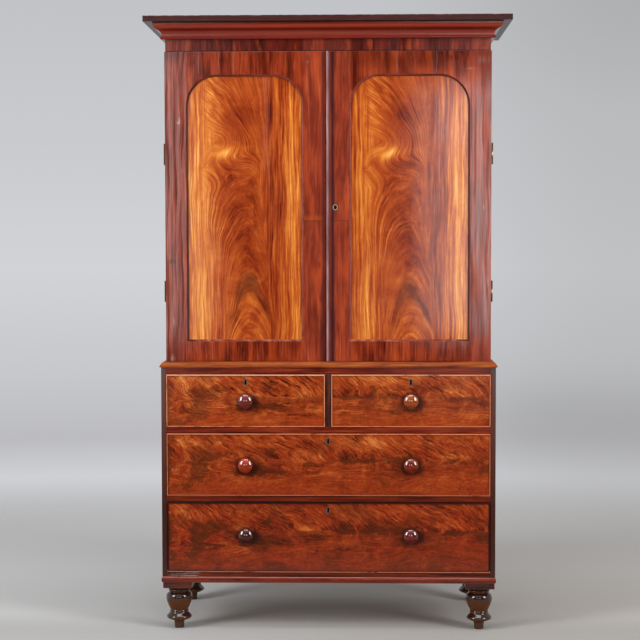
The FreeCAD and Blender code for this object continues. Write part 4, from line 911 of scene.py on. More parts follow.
@dataclass(frozen=True)
class CrossBanding(Mahogany):
    """Mahogany veneer laid with its grain upright, in leaves with a fine joint between them."""

    leaf: float = 118.0
    joint: float = 1455.0
    cracks: tuple[float, ...] = ()
    crack_foot: float = 1968.0
    glow: float = 0.5
    shade: float = 0.5
    meeting: float = 0.0
    upper_edge: float | None = None
    dark_edge: float | None = None
    pale_knocks: tuple[Patch, ...] = ()
    dark_knocks: tuple[Patch, ...] = ()

    def paint(self, web: Web) -> None:
        """Builds the nodes."""
        x, y, z = web.place
        drift = web.noise(x * 0.008, z * 0.004, self.seed, 2.0) - 0.5
        streak = web.noise(x * 0.07 + drift * 2.5, y * 0.05, z * 0.0028 + self.seed, 3.0, 0.62)
        hairs = web.noise(x * 0.30 + drift * 6.0, y * 0.2, z * 0.008 + self.seed, 3.0, 0.62)
        combed = web.noise(x * 0.15 + drift * 4.0, y * 0.2, z * 0.003 + self.seed + 2.0, 2.0, 0.6)
        colour = self._veneer(web, drift, streak, hairs)
        colour = self._joints(web, colour)
        colour = web.mix(abs(x).smooth(480.0, 510.0) * 0.4, colour, "#96402e")
        colour = web.mix(web.arris() * self.worn, colour, "#8c4a30")
        colour = self._top(web, colour, streak)
        for knocks, shown in ((self.pale_knocks, "#b59a94"), (self.dark_knocks, "#2c0f0a")):
            if knocks:
                bruise = clouds(knocks, x, z) * hairs.smooth(0.35, 0.6)
                colour = web.mix(bruise.least(1.0), colour, shown)
        colour = wear(web, colour, x, z, self.seed, self.marks)
        far_left = x.smooth(-470.0, -500.0)
        colour = web.mix(far_left * combed.smooth(0.50, 0.38) * 0.55, colour, "#4a1a12")
        gloss = 0.60 + (streak - 0.5) * 1.8 + (combed - 0.5) * (far_left * 1.6 + 3.2)
        rough, coat = self.rough + (streak - 0.5) * 0.08, gloss.clamped()
        web.polish(colour, rough, hairs, 0.00012, sheen=0.12, coat=coat, coat_rough=self.rough)

    def _veneer(self, web: Web, drift: Field, streak: Field, hairs: Field) -> Field:
        """The colour of the leaves.

        Args:
            web: The material's tree.
            drift: How the grain wanders.
            streak: Its broad streaks.
            hairs: Its fine grain.

        Returns:
            The colour.
        """
        x, y, z = web.place
        cell = ((x + 31.0) * (1 / self.leaf)).floor()
        pick = web.dice(cell, z.over(self.joint) * abs(x).over(86.0).blend(3.0, 0.0), self.seed)
        broad = web.noise(x * 0.016 + pick, y * 0.02, z * 0.005 + self.seed, 2.0)
        mottle = web.noise(x * 0.035, y * 0.03, z * 0.009 + self.seed, 4.0, 0.62)
        value = 0.48 + (broad - 0.5) * 1.1 + (streak - 0.5) * 0.75 + (hairs - 0.5) * 0.95
        value = value + (mottle - 0.5) * 0.9
        colour = self._toned(web, value + (pick - 0.5) * 0.10)
        blaze = web.noise(x * 0.03 + pick * 3.0, y * 0.02, z * 0.006 + self.seed, 2.0, 0.5)
        colour = web.mix(blaze.smooth(0.54, 0.68) * self.glow, colour, "#b8481a")
        colour = web.mix(blaze.smooth(0.43, 0.32) * self.shade, colour, "#3a120a")
        cuts = web.noise(x * 0.16 + drift * 4.0, y * 0.1, z * 0.006 + self.seed + 6.0, 2.0, 0.5)
        return web.mix(cuts.smooth(0.62, 0.72) * 0.3, colour, "#300d07")

    def _joints(self, web: Web, colour: Field) -> Field:
        """Adds the joint of the meeting stiles' leaves, a painted shadow along their edges beside
        the astragal, and the cracks.

        Args:
            web: The material's tree.
            colour: The colour below.

        Returns:
            The new colour.
        """
        x, _, z = web.place
        inner = abs(x).smooth(92.0, 78.0)
        seam = (abs(z - self.joint)).smooth(1.6, 0.2) * inner
        glow = (z - self.joint).smooth(0.0, 2.0) * (z - self.joint).smooth(26.0, 10.0)
        colour = web.mix(glow * inner * x.smooth(0.0, -4.0) * 0.4, colour, "#b4501c")
        colour = web.mix(seam * 0.75, colour, "#2a0c06")
        colour = web.mix(inner * 0.09, colour, "#e16d55")
        # painted shadow on both meeting stiles beside the astragal
        meeting = x.bell(17.0, 7.0).most(x.bell(-16.0, 6.0) * 0.8)
        colour = web.mix(meeting * self.meeting, colour, "#3a1c22")
        split: Field | None = None
        for place in self.cracks:
            wander = (web.noise(z * 0.02, place, 3.0, 2.0) - 0.5) * 6
            line = abs(x - place + wander).smooth(1.3, 0.3)
            split = line if split is None else split.most(line)
        if split is None:
            return colour
        split = split * z.smooth(self.crack_foot - 4, self.crack_foot + 8)
        return web.mix(split * 0.6, colour, "#8d8078")

    def _top(self, web: Web, colour: Field, streak: Field) -> Field:
        """Adds a pale grey line along the upper edge, painted shade in the top left corner under
        the cornice, and painted shade along a lower edge.

        Args:
            web: The material's tree.
            colour: The colour below.
            streak: The grain's streaks, which the dust follows.

        Returns:
            The new colour.
        """
        x, _, z = web.place
        if self.upper_edge is not None:
            ledge = z.smooth(self.upper_edge - 2.6, self.upper_edge - 1.0) * streak.smooth(0.3, 0.5)
            colour = web.mix(ledge * x.smooth(40.0, -20.0).blend(0.25, 0.6), colour, "#857474")
            # painted shade in the top left corner, under the cornice
            gloomy = z.smooth(self.upper_edge - 60.0, self.upper_edge - 8.0)
            gloomy = gloomy * x.smooth(-420.0, -560.0)
            colour = web.mix(gloomy * 0.55, colour, "#38201f")
        # painted shade along the frieze's lower edge, above the doors
        if self.dark_edge is not None:
            dark = z.smooth(self.dark_edge + 5.0, self.dark_edge)
            colour = web.mix(dark * 0.6, colour, "#220c08")
        return colour


@dataclass(frozen=True)
class CorniceFinish(Mahogany):
    """Cornice mahogany: painted highlights and painted shade in bands up its rounded mouldings, a
    dark fascia and painted shade under it.
    """

    foot: float = 2089.0
    fascia: float = 2144.0
    head: float = 2165.0

    def paint(self, web: Web) -> None:
        """Builds the nodes."""
        x, y, z = web.place
        colour, _, hairs = self._timber(web)
        # painted highlights and painted shade in bands, by height
        painted_bands = web.ramp((z - self.foot) * (1 / (self.head - self.foot)), CORNICE_SHADING_RAMP)
        colour = web.mix(0.72, colour, painted_bands)
        high = z.smooth(self.fascia - 1, self.fascia + 1)
        old = web.noise(x * 0.012, y * 0.012, z * 0.1, 3.0)
        colour = web.mix(high * 0.95, colour, "#361512")
        colour = web.mix(high * old.smooth(0.5, 0.7) * 0.3, colour, "#5c261c")
        up = web.facing(Axis.UP)
        top = up.smooth(0.6, 0.9)
        chips = web.noise(x * 0.03, y * 0.03, 7.0, 4.0, 0.7).smooth(0.46, 0.60)
        edge = z.smooth(self.head - 2.6, self.head - 1.0) * chips * (1.0 - top)
        colour = web.mix(edge * 0.7, colour, "#a08a84")
        dust = web.noise(x * 0.008, y * 0.008, z * 0.03, 4.0, 0.65)
        colour = web.mix(top * dust.blend(0.65, 1.0), colour, "#4d3d33")
        # painted shade under the fascia, along its lower edge
        soffit = up.smooth(-0.7, -0.9) * z.smooth(self.fascia - 8.0, self.fascia - 5.0)
        soffit = soffit.most(z.bell(self.fascia + 0.6, 1.3))
        colour = web.mix(soffit * 0.85, colour, "#1c0705")
        colour = wear(web, colour, x, z, self.seed, self.marks)
        rough = self.rough + high * 0.12 + top * 0.45
        web.polish(colour, rough, hairs, 0.0001, sheen=self.sheen)


@dataclass(frozen=True)
class AstragalFinish(Mahogany):
    """Mahogany of the meeting bead: pale pinkish tones paint a highlight along its ridge, with
    painted shade on both sides.
    """

    ridge: float = 1.0

    def paint(self, web: Web) -> None:
        """Builds the nodes."""
        x, y, z = web.place
        colour, _, hairs = self._timber(web)
        painted_highlight = web.noise(x * 0.1, y * 0.1, z * 0.012, 3.0, 0.6).smooth(0.30, 0.5)
        colour = web.mix((1.0 - painted_highlight) * 0.5, colour, "#7a3a30")
        # painted shade on the bead's right side
        colour = web.mix(x.smooth(self.ridge - 1.2, self.ridge + 2.4) * 0.8, colour, "#5c2c26")
        # painted shadow on its left side, against the left door
        shaded = x.smooth(self.ridge - 5.6, self.ridge - 7.2)
        colour = web.mix(shaded * 0.93, colour, "#2a0f0c")
        web.polish(colour, self.rough, hairs, 0.0001, sheen=self.sheen)


@dataclass(frozen=True)
class Turned(Finish):
    """Glossy turned mahogany."""

    dark: str
    light: str
    left_lift: float = 0.0
    right_lift: float = 0.0
    rough: float = 0.14
    seed: float = 40.0
    sheen: float = 0.85
    coat: float = 0.7
    # share of painted light bounced up from the floor onto the undersides
    bounce: float = 0.0

    def paint(self, web: Web) -> None:
        """Builds the nodes."""
        x, y, z = web.place
        lift = x.over(0.0).blend(self.left_lift, self.right_lift)
        broad = web.noise(x * 0.05, y * 0.02, z * 0.09 + self.seed, 3.0, 0.6, 0.4)
        fine = web.noise(x * 0.3, y * 0.08, z * 0.6 + self.seed, 3.0, 0.6)
        value = 0.35 + lift + (broad - 0.5) * 1.6 + (fine - 0.5) * 0.5
        colour = web.mix(value.clamped(), self.dark, self.light)
        specks = web.noise(x * 0.4, y * 0.4, z * 0.4, 1.0).smooth(0.73, 0.78)
        colour = web.mix(specks * 0.3, colour, "#b08468")
        rough = self.rough + (broad - 0.5) * 0.06
        bright = web.surface(
            colour, rough, fine, 0.0001, sheen=self.sheen, coat=self.coat, coat_rough=0.08
        )
        # painted light bounced up from the floor onto the undersides
        bounce_lit = web.mix(self.bounce, colour, "#6e4020")
        dusty = web.surface(bounce_lit, 0.4, fine, 0.0001, sheen=0.1)
        under = web.facing(Axis.UP).smooth(0.15, -0.4)
        web.end("ShaderNodeOutputMaterial", web.join(under, bright, dusty))


@dataclass(frozen=True)
class BeadFinish(Finish):
    """Cock beading of one drawer: a painted highlight along its outer edge, brown against the
    veneer.
    """

    pale: str
    dark: str
    west: float
    east: float
    foot: float
    head: float
    pale_foot: bool = False
    seed: float = 50.0

    def paint(self, web: Web) -> None:
        """Builds the nodes."""
        x, y, z = web.place
        run = web.noise(x * 0.02, y * 0.1, z * 0.02 + self.seed, 4.0, 0.65)
        side = (x - self.west).least(self.east - x).least(z - self.foot)
        # painted highlight along the bead's outer edge and top
        outer = side.smooth(2.4, 1.2).most((self.head - z).smooth(3.8, 2.8))
        share = outer * run.smooth(0.30, 0.48)
        if self.pale_foot:
            share = share * z.smooth(self.foot + 6, self.foot + 5)
        colour = web.mix(share, self.dark, self.pale)
        chips = web.noise(x * 0.15, y * 0.1, z * 0.15 + self.seed, 2.0).smooth(0.66, 0.7)
        colour = web.mix(chips * 0.5, colour, "#4a2014")
        web.polish(colour, 0.33, run, 0.0002, sheen=0.2)


@dataclass(frozen=True)
class PanelBead(Finish):
    """Bead round a door panel: painted shade at the outer sides and, less, on the arch, painted
    highlights at the inner sides and along the bottom.
    """

    body: str = "#7e2a10"
    painted_highlight: str = "#96463e"
    painted_shade: str = "#3c0f05"
    foot: float = 1036.0

    def paint(self, web: Web) -> None:
        """Builds the nodes."""
        x, _, z = web.place
        run = web.noise(x * 0.03, z * 0.03, 4.0, 3.0, 0.6)
        inner = abs(x).smooth(380.0, 190.0)
        low = z.smooth(self.foot + 1.5, self.foot)
        # painted shade on the outer sides and, less, along the arch
        outer = abs(x).smooth(440.0, 475.0).most(z.smooth(1955.0, 1962.0) * 0.45)
        colour = web.mix(outer * 0.85, self.body, self.painted_shade)
        # painted highlight on the inner sides
        colour = web.mix(inner * run.smooth(0.3, 0.6) * 0.75, colour, self.painted_highlight)
        # painted highlight along the bottom
        colour = web.mix(low * run.smooth(0.45, 0.65) * 0.7, colour, "#c07a64")
        web.polish(colour, 0.4, run, 0.0001, sheen=0.3)


@dataclass(frozen=True)
class PlainTimber(Finish):
    """Oak or pine left bare and gone brown with age."""

    grain: Axis
    pale: str
    dark: str
    width: float = 22.0
    seed: float = 60.0
    knots: float = 0.0

    def paint(self, web: Web) -> None:
        """Builds the nodes."""
        x, y, z = web.place
        drift = web.noise(x * 0.004, y * 0.004, z * 0.004 + self.seed, 2.0) - 0.5
        fine, coarse = 1 / (self.width * 5), 1 / (self.width * 18)
        rings = web.drawn(self.grain, 1 / self.width, coarse, drift * 3.0, rough=0.6, detail=4.0)
        hairs = web.drawn(self.grain, 5 / self.width, fine, rough=0.65)
        value = 0.5 + (rings - 0.5) * 1.6 + (hairs - 0.5) * 0.9 + drift
        colour = web.mix(value.clamped(), self.dark, self.pale)
        if self.knots:
            eyes = web.noise(x * 0.011, y * 0.011, z * 0.011 + self.seed * 2, 1.0)
            colour = web.mix(eyes.smooth(0.74, 0.8) * self.knots, colour, "#4c2a14")
        dust = web.noise(x * 0.01, y * 0.01, z * 0.01 + self.seed, 3.0)
        colour = web.mix(dust.smooth(0.5, 0.75) * 0.35, colour, "#6b5138")
        colour = web.mix(web.arris() * 0.25, colour, self.pale)
        web.polish(colour, 0.68 + (hairs - 0.5) * 0.2, hairs, 0.0004)


@dataclass(frozen=True)
class Metal(Finish):
    """Old brass or steel, tarnished in patches."""

    bright: str
    dull: str
    seed: float = 70.0
    cover: float = 0.5
    relief: float = 0.00005  # metres

    def paint(self, web: Web) -> None:
        """Builds the nodes."""
        x, y, z = web.place
        colour, share, _ = self._tarnish(web)
        rub_and_glint = web.noise(x * 0.9, y * 0.9, z * 0.15 + self.seed, 3.0, 0.6)
        rough = 0.28 + share * 0.3 + (rub_and_glint - 0.5) * 0.2
        web.polish(colour, rough, rub_and_glint, self.relief, metallic=1.0)

    def _tarnish(self, web: Web) -> Spot:
        """The tarnished metal.

        Args:
            web: The material's tree.

        Returns:
            Its colour, how far it is tarnished and the cloud that decides it.
        """
        x, y, z = web.place
        cloud = web.noise(x * 0.09, y * 0.09, z * 0.09 + self.seed, 4.0, 0.65)
        share = cloud.smooth(self.cover - 0.15, self.cover + 0.15)
        return web.mix(share, self.bright, self.dull), share, cloud


@dataclass(frozen=True)
class HingeMetal(Metal):
    """Brass of a hinge: its knuckles are brown with old polish outside the press, with painted
    highlights at two heights on the right.
    """

    edge: float = 573.5
    painted_highlight: Pair = (1206.0, 1690.0)

    def paint(self, web: Web) -> None:
        """Builds the nodes."""
        x, _, z = web.place
        colour, _, cloud = self._tarnish(web)
        outside = abs(x).smooth(self.edge - 1.0, self.edge + 1.0)
        colour = web.mix(outside * 0.9, colour, "#4a2c20")
        # painted highlights on the knuckles at the right, at two heights
        low, high = (z.bell(height, 6.0) for height in self.painted_highlight)
        rub_and_glint = outside * low.most(high) * x.over(0.0)
        colour = web.mix(rub_and_glint, colour, "#f0e2c8")
        rough, metallic = 0.35 + outside * 0.15, 1.0 - outside * 0.4
        web.polish(colour, rough, cloud, self.relief, metallic=metallic)


@dataclass(frozen=True)
class LockMetal(Metal):
    """Brass of a lock: its keyhole liner is worn pale and its case is painted near black behind the
    hole, as shade.
    """

    face: float = -255.4
    liner: str = "#6f6253"

    def paint(self, web: Web) -> None:
        """Builds the nodes."""
        _, y, _ = web.place
        colour, _, cloud = self._tarnish(web)
        front = web.facing(Axis.DEEP).smooth(-0.5, -0.8)
        rim = y.smooth(self.face + 1.2, self.face + 0.4)
        colour = web.mix(rim * front, colour, self.liner)
        # painted shade: the case seen through the keyhole is made near black
        hole_shade = front.most(y.smooth(self.face + 6.0, self.face + 4.0)) * (1.0 - rim * front)
        colour = web.mix(hole_shade * 0.97, colour, "#050403")
        metallic = (1.0 - hole_shade) * (1.0 - rim * front * 0.6)
        web.polish(colour, 0.35 + hole_shade * 0.5, cloud, self.relief, metallic=metallic)


@dataclass(frozen=True)
class Paper(Finish):
    """The studio's floor, which fades out into the backdrop."""

    far: Pair = (3400.0, 500.0)
    near: Pair = (-1900.0, -700.0)
    aside: Pair = (3400.0, 2400.0)

    def paint(self, web: Web) -> None:
        """Builds the nodes."""
        x, y, _ = web.place
        fade = y.smooth(*self.far) * y.smooth(*self.near) * abs(x).smooth(*self.aside)
        colour = web.mix(x.smooth(-700.0, 700.0), "#cbcbca", "#bdb8b2")
        mid = y.smooth(100.0, 900.0) * y.smooth(3000.0, 2000.0)
        colour = web.mix(mid * x.smooth(-700.0, 700.0).blend(0.31, 0.2), colour, "#ffffff")
        colour = web.mix(y.smooth(60.0, -260.0) * 0.38, colour, "#8e8d8a")
        web.polish(colour, 0.85, alpha=fade)


@dataclass(frozen=True)
class Cloth(Finish):
    """The dark cloth behind the camera."""

    def paint(self, web: Web) -> None:
        """Builds the nodes."""
        x, _, z = web.place
        folds = web.noise(x * 0.004, z * 0.0005, 0.0, 2.0)
        web.polish(web.mix(folds, "#141414", "#1c1c1d"), 0.95)


# ---------------------------------------------------------------------- meshes


def new_object(name: str, data: Any) -> bpy.types.Object:
    """Puts an object with some data in the scene."""
    made = bpy.data.objects.new(name, data)
    bpy.context.scene.collection.objects.link(made)
    return made


def to_mesh(made: bmesh.types.BMesh, name: str) -> bpy.types.Mesh:
    """Turns a surface into a mesh and frees the surface."""
    mesh = bpy.data.meshes.new(name)
    made.to_mesh(mesh)
    made.free()
    return mesh


def grid_key(place: Vector) -> tuple[int, ...]:
    """A place in whole steps, the same for the corners of triangles that meet."""
    return tuple(round(c * GRID) for c in place)


def shells(mesh: bpy.types.Mesh) -> list[list[int]]:
    """Splits a node's triangles into its closed solids.

    The triangles of one solid follow each other, so a solid ends where no edge is left open.

    Args:
        mesh: A mesh of loose triangles.

    Returns:
        The face numbers of each solid.
    """
    keys = [grid_key(v.co) for v in mesh.vertices]
    found: list[list[int]] = []
    current: list[int] = []
    open_edges: dict[tuple, int] = {}
    for face in mesh.polygons:
        ring = [keys[i] for i in face.vertices]
        current.append(face.index)
        for a, b in zip(ring, ring[1:] + ring[:1]):
            if a == b:
                continue
            if open_edges.get((b, a), 0):
                open_edges[(b, a)] -= 1
                if not open_edges[(b, a)]:
                    del open_edges[(b, a)]
            else:
                open_edges[(a, b)] = open_edges.get((a, b), 0) + 1
        if not open_edges:
            found.append(current)
            current = []
    if current:
        found.append(current)
    return found


def welded(mesh: bpy.types.Mesh, faces: Sequence[int]) -> bmesh.types.BMesh:
    """Joins some loose triangles into one surface with flat faces in one piece.

    Args:
        mesh: The mesh that has the triangles.
        faces: Their numbers.

    Returns:
        The joined surface.
    """
    made = bmesh.new()
    known: dict[tuple, bmesh.types.BMVert] = {}
    for number in faces:
        ring = []
        for index in mesh.polygons[number].vertices:
            place = mesh.vertices[index].co
            key = grid_key(place)
            if key not in known:
                known[key] = made.verts.new(place)
            ring.append(known[key])
        if len(set(ring)) == 3 and made.faces.get(ring) is None:
            made.faces.new(ring)
    bmesh.ops.remove_doubles(made, verts=made.verts, dist=WELD)
    bmesh.ops.dissolve_limit(
        made, angle_limit=PLANE_ANGLE, verts=made.verts, edges=made.edges, delimit=set()
    )
    made.normal_update()
    return made


def bounds_of(made: bmesh.types.BMesh) -> tuple[Vector, Vector]:
    """The lowest and highest corners of a surface."""
    spots = [v.co for v in made.verts]
    low = Vector(min(s[i] for s in spots) for i in range(3))
    high = Vector(max(s[i] for s in spots) for i in range(3))
    return low, high


def folded(made: bmesh.types.BMesh) -> bool:
    """Whether a face of a solid crosses itself, so that it would cover a hole.

    Such a face's triangles together have a larger area than the face.

    Args:
        made: The solid.

    Returns:
        True if some face does.
    """
    made.normal_update()
    covered: dict[int, float] = {}
    flat: dict[int, float] = {}
    for loops in made.calc_loop_triangles():
        a, b, c = (loop.vert.co for loop in loops)
        face = loops[0].face
        covered[face.index] = covered.get(face.index, 0.0) + (b - a).cross(c - a).length / 2
        flat[face.index] = face.calc_area()
    return any(covered[i] - flat[i] > FOLD_AREA for i in covered)


def round_arrises(made: bmesh.types.BMesh, radius: float, steps: int) -> bmesh.types.BMesh:
    """Rounds the outward edges of a solid, less where a hole lies close to an edge.

    Args:
        made: The solid.
        radius: The rounding, in metres.
        steps: Faces round each edge.

    Returns:
        The rounded solid, or the plain one where rounding would spoil it.
    """
    volume, (low, high) = made.calc_volume(), bounds_of(made)
    for reach in (radius, radius * LESS_ROUND):
        tried = made.copy()
        edges = [
            e
            for e in tried.edges
            if len(e.link_faces) == 2 and e.is_convex and e.calc_face_angle(0.0) > ARRIS_ANGLE
        ]
        bmesh.ops.bevel(
            tried,
            geom=edges,
            offset=reach,
            offset_type="OFFSET",
            segments=steps,
            profile=0.5,
            affect="EDGES",
            clamp_overlap=True,
        )
        tried.faces.index_update()
        new_low, new_high = bounds_of(tried)
        grown = max(*(low - new_low), *(new_high - high))
        loss = abs(tried.calc_volume() - volume)
        sound = loss <= VOLUME_LOSS * abs(volume) and grown <= GROWTH
        if sound and not folded(tried):
            made.free()
            return tried
        LOG.info("a rounding of %.2f mm would spoil a solid", reach / MM)
        tried.free()
    return made


def board_ends(low: Vector, high: Vector, count: int, inset: float) -> list[Pair]:
    """Two nail places at each end of each upright board of a back.

    Args:
        low: The back's lowest corner, in millimetres.
        high: Its highest corner.
        count: How many boards there are.
        inset: How far the nails are from the ends.

    Returns:
        The places, across and up.
    """
    wide = (high.x - low.x) / count
    return [
        (low.x + wide * (i + share), z)
        for i in range(count)
        for share in NAIL_SHARES
        for z in (low.z + inset, high.z - inset)
    ]


def corners(west: float, east: float, foot: float, head: float, inset: float) -> list[Pair]:
    """The four places inside the corners of a plate, across and up."""
    return [(x, z) for x in (west + inset, east - inset) for z in (foot + inset, head - inset)]


def smoothed(points: Sequence[Pair], parts: int = 4) -> list[Pair]:
    """A curve through the points of a turned section.

    Args:
        points: Height and radius of each point.
        parts: Steps between two points.

    Returns:
        The points of the curve.
    """
    spots = [Vector(p) for p in points]
    spots = [spots[0] * 2 - spots[1], *spots, spots[-1] * 2 - spots[-2]]
    curve = []
    for before, start, end, after in zip(spots, spots[1:], spots[2:], spots[3:]):
        for step in range(parts):
            t = step / parts
            curve.append(
                start
                + (end - before) * (t / 2)
                + (before * 2 - start * 5 + end * 4 - after) * (t * t / 2)
                + (start * 3 - end * 3 + after - before) * (t * t * t / 2)
            )
    return [(spot[0], spot[1]) for spot in (*curve, spots[-2])]


def spin(made: bmesh.types.BMesh, centre: Vector, section: Sequence[Pair], steps: int = 72) -> None:
    """Adds one turned solid to a mesh.

    Args:
        made: The mesh.
        centre: The middle of its foot.
        section: Height and radius of each ring, from the foot up, in millimetres.
        steps: Faces round it.
    """
    angles = [math.tau * i / steps for i in range(steps)]
    turns = [Vector((math.cos(angle), math.sin(angle), 0)) for angle in angles]
    rings = []
    for high, radius in section:
        level = centre + Vector((0, 0, high * MM))
        rings.append([made.verts.new(level + turn * (radius * MM)) for turn in turns])
    made.faces.new(tuple(reversed(rings[0])))
    made.faces.new(rings[-1])
    for lower, upper in zip(rings, rings[1:]):
        for i in range(steps):
            made.faces.new((lower[i - 1], lower[i], upper[i], upper[i - 1])).smooth = True


def evaluated(obj: bpy.types.Object, name: str) -> bpy.types.Object:
    """Makes a plain mesh object of what an object's modifiers give, and removes the object."""
    graph = bpy.context.evaluated_depsgraph_get()
    mesh = bpy.data.meshes.new_from_object(obj.evaluated_get(graph), depsgraph=graph)
    mesh.name = name
    bpy.data.objects.remove(obj)
    return new_object(name, mesh)


@dataclass
class Workshop:
    """Makes the pieces from the joined timber and keeps count of them."""

    nodes: Mapping[str, bpy.types.Object]
    made: list[str] = field(default_factory=list)

    def shape(
        self, node: str, body: str, finish: Finish, radius: float = 1.0, steps: int = 2
    ) -> None:
        """Replaces a node by a copy with rounded arrises and a finish.

        Args:
            node: The node's name.
            body: The body that it moves with.
            finish: Its finish.
            radius: The rounding of its edges, in millimetres.
            steps: Faces round each edge.
        """
        source = self.nodes[node].data
        joined = bmesh.new()
        for faces in shells(source):
            solid = welded(source, faces)
            if radius:
                solid = round_arrises(solid, radius * MM, steps)
            part = to_mesh(solid, "part")
            joined.from_mesh(part)
            bpy.data.meshes.remove(part)
        for face in joined.faces:
            face.smooth = True
        for edge in joined.edges:
            edge.smooth = len(edge.link_faces) == 2 and edge.calc_face_angle(0.0) < SHARP_ANGLE
        blank = new_object("blank", to_mesh(joined, node))
        even = blank.modifiers.new("even", "WEIGHTED_NORMAL")
        even.keep_sharp = True
        piece = evaluated(blank, f"{node}_finished")
        piece.data.materials.clear()
        piece.data.materials.append(finish.material())
        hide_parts(node)
        self.keep(piece, body)

    def turn(
        self,
        node: str,
        body: str,
        finish: Finish,
        profile: Sequence[Pair],
        high: float,
        tenon: Pair,
    ) -> None:
        """Replaces a node of four turned pieces, which stand at the corners of its box.

        Args:
            node: The node's name.
            body: The body that they move with.
            finish: Their finish.
            profile: Height and radius of points on the half section, from the floor up.
            high: Height of the turned part.
            tenon: Radius and length of the tenon above it.
        """
        low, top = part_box(node)
        reach = max(radius for _, radius in profile) * MM
        radius, length = tenon
        section = smoothed(profile) + [(high, radius), (high + length, radius)]
        made = bmesh.new()
        for x in (low.x + reach, top.x - reach):
            for y in (low.y + reach, top.y - reach):
                spin(made, Vector((x, y, low.z)), section)
        for edge in made.edges:
            edge.smooth = edge.calc_face_angle(0.0) < SHARP_ANGLE
        piece = new_object(f"{node}_finished", to_mesh(made, f"{node}_finished"))
        piece.data.materials.append(finish.material())
        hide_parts(node)
        self.keep(piece, body)

    def dress(self, node: str, finish: Finish) -> None:
        """Gives a node that keeps its shape a finish."""
        target = self.nodes[node]
        target.data.materials.clear()
        target.data.materials.append(finish.material())
        self.made.append(node)
        LOG.info("%s: finish %s", node, finish.name)

    def fix(
        self,
        name: str,
        body: str,
        fixings: "Fixings",
        rows: Iterable[Pair],
        plane: float,
        seed: int,
    ) -> None:
        """Drives fixings that face the back of the press.

        Args:
            name: The new piece's name.
            body: The body that they move with.
            fixings: The kind of head.
            rows: Where each one is, across and up, in millimetres.
            plane: How deep the surface lies that carries them, in millimetres.
            seed: Fixes how the heads are turned.
        """
        places = [(Vector((x, plane, z)), Vector((0, 1, 0))) for x, z in rows]
        self.keep(fixings.drive(name, places, seed), body)

    def nail_back(self, node: str, name: str, inset: float, seed: int) -> None:
        """Nails the upright boards of a back at both ends.

        Args:
            node: The boards' node.
            name: The new piece's name.
            inset: How far the nails are from the boards' ends, in millimetres.
            seed: Fixes how the heads are turned.
        """
        low, high = (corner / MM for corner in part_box(node))
        self.fix(name, "case", NAILS, board_ends(low, high, BACK_BOARDS, inset), high.y, seed)

    def keep(self, piece: bpy.types.Object, body: str) -> None:
        """Lets a new piece ride on its body."""
        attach(piece, body)
        self.made.append(piece.name)
        LOG.info("%s: %d faces on %s", piece.name, len(piece.data.polygons), body)


# ------------------------------------------------------------- geometry nodes


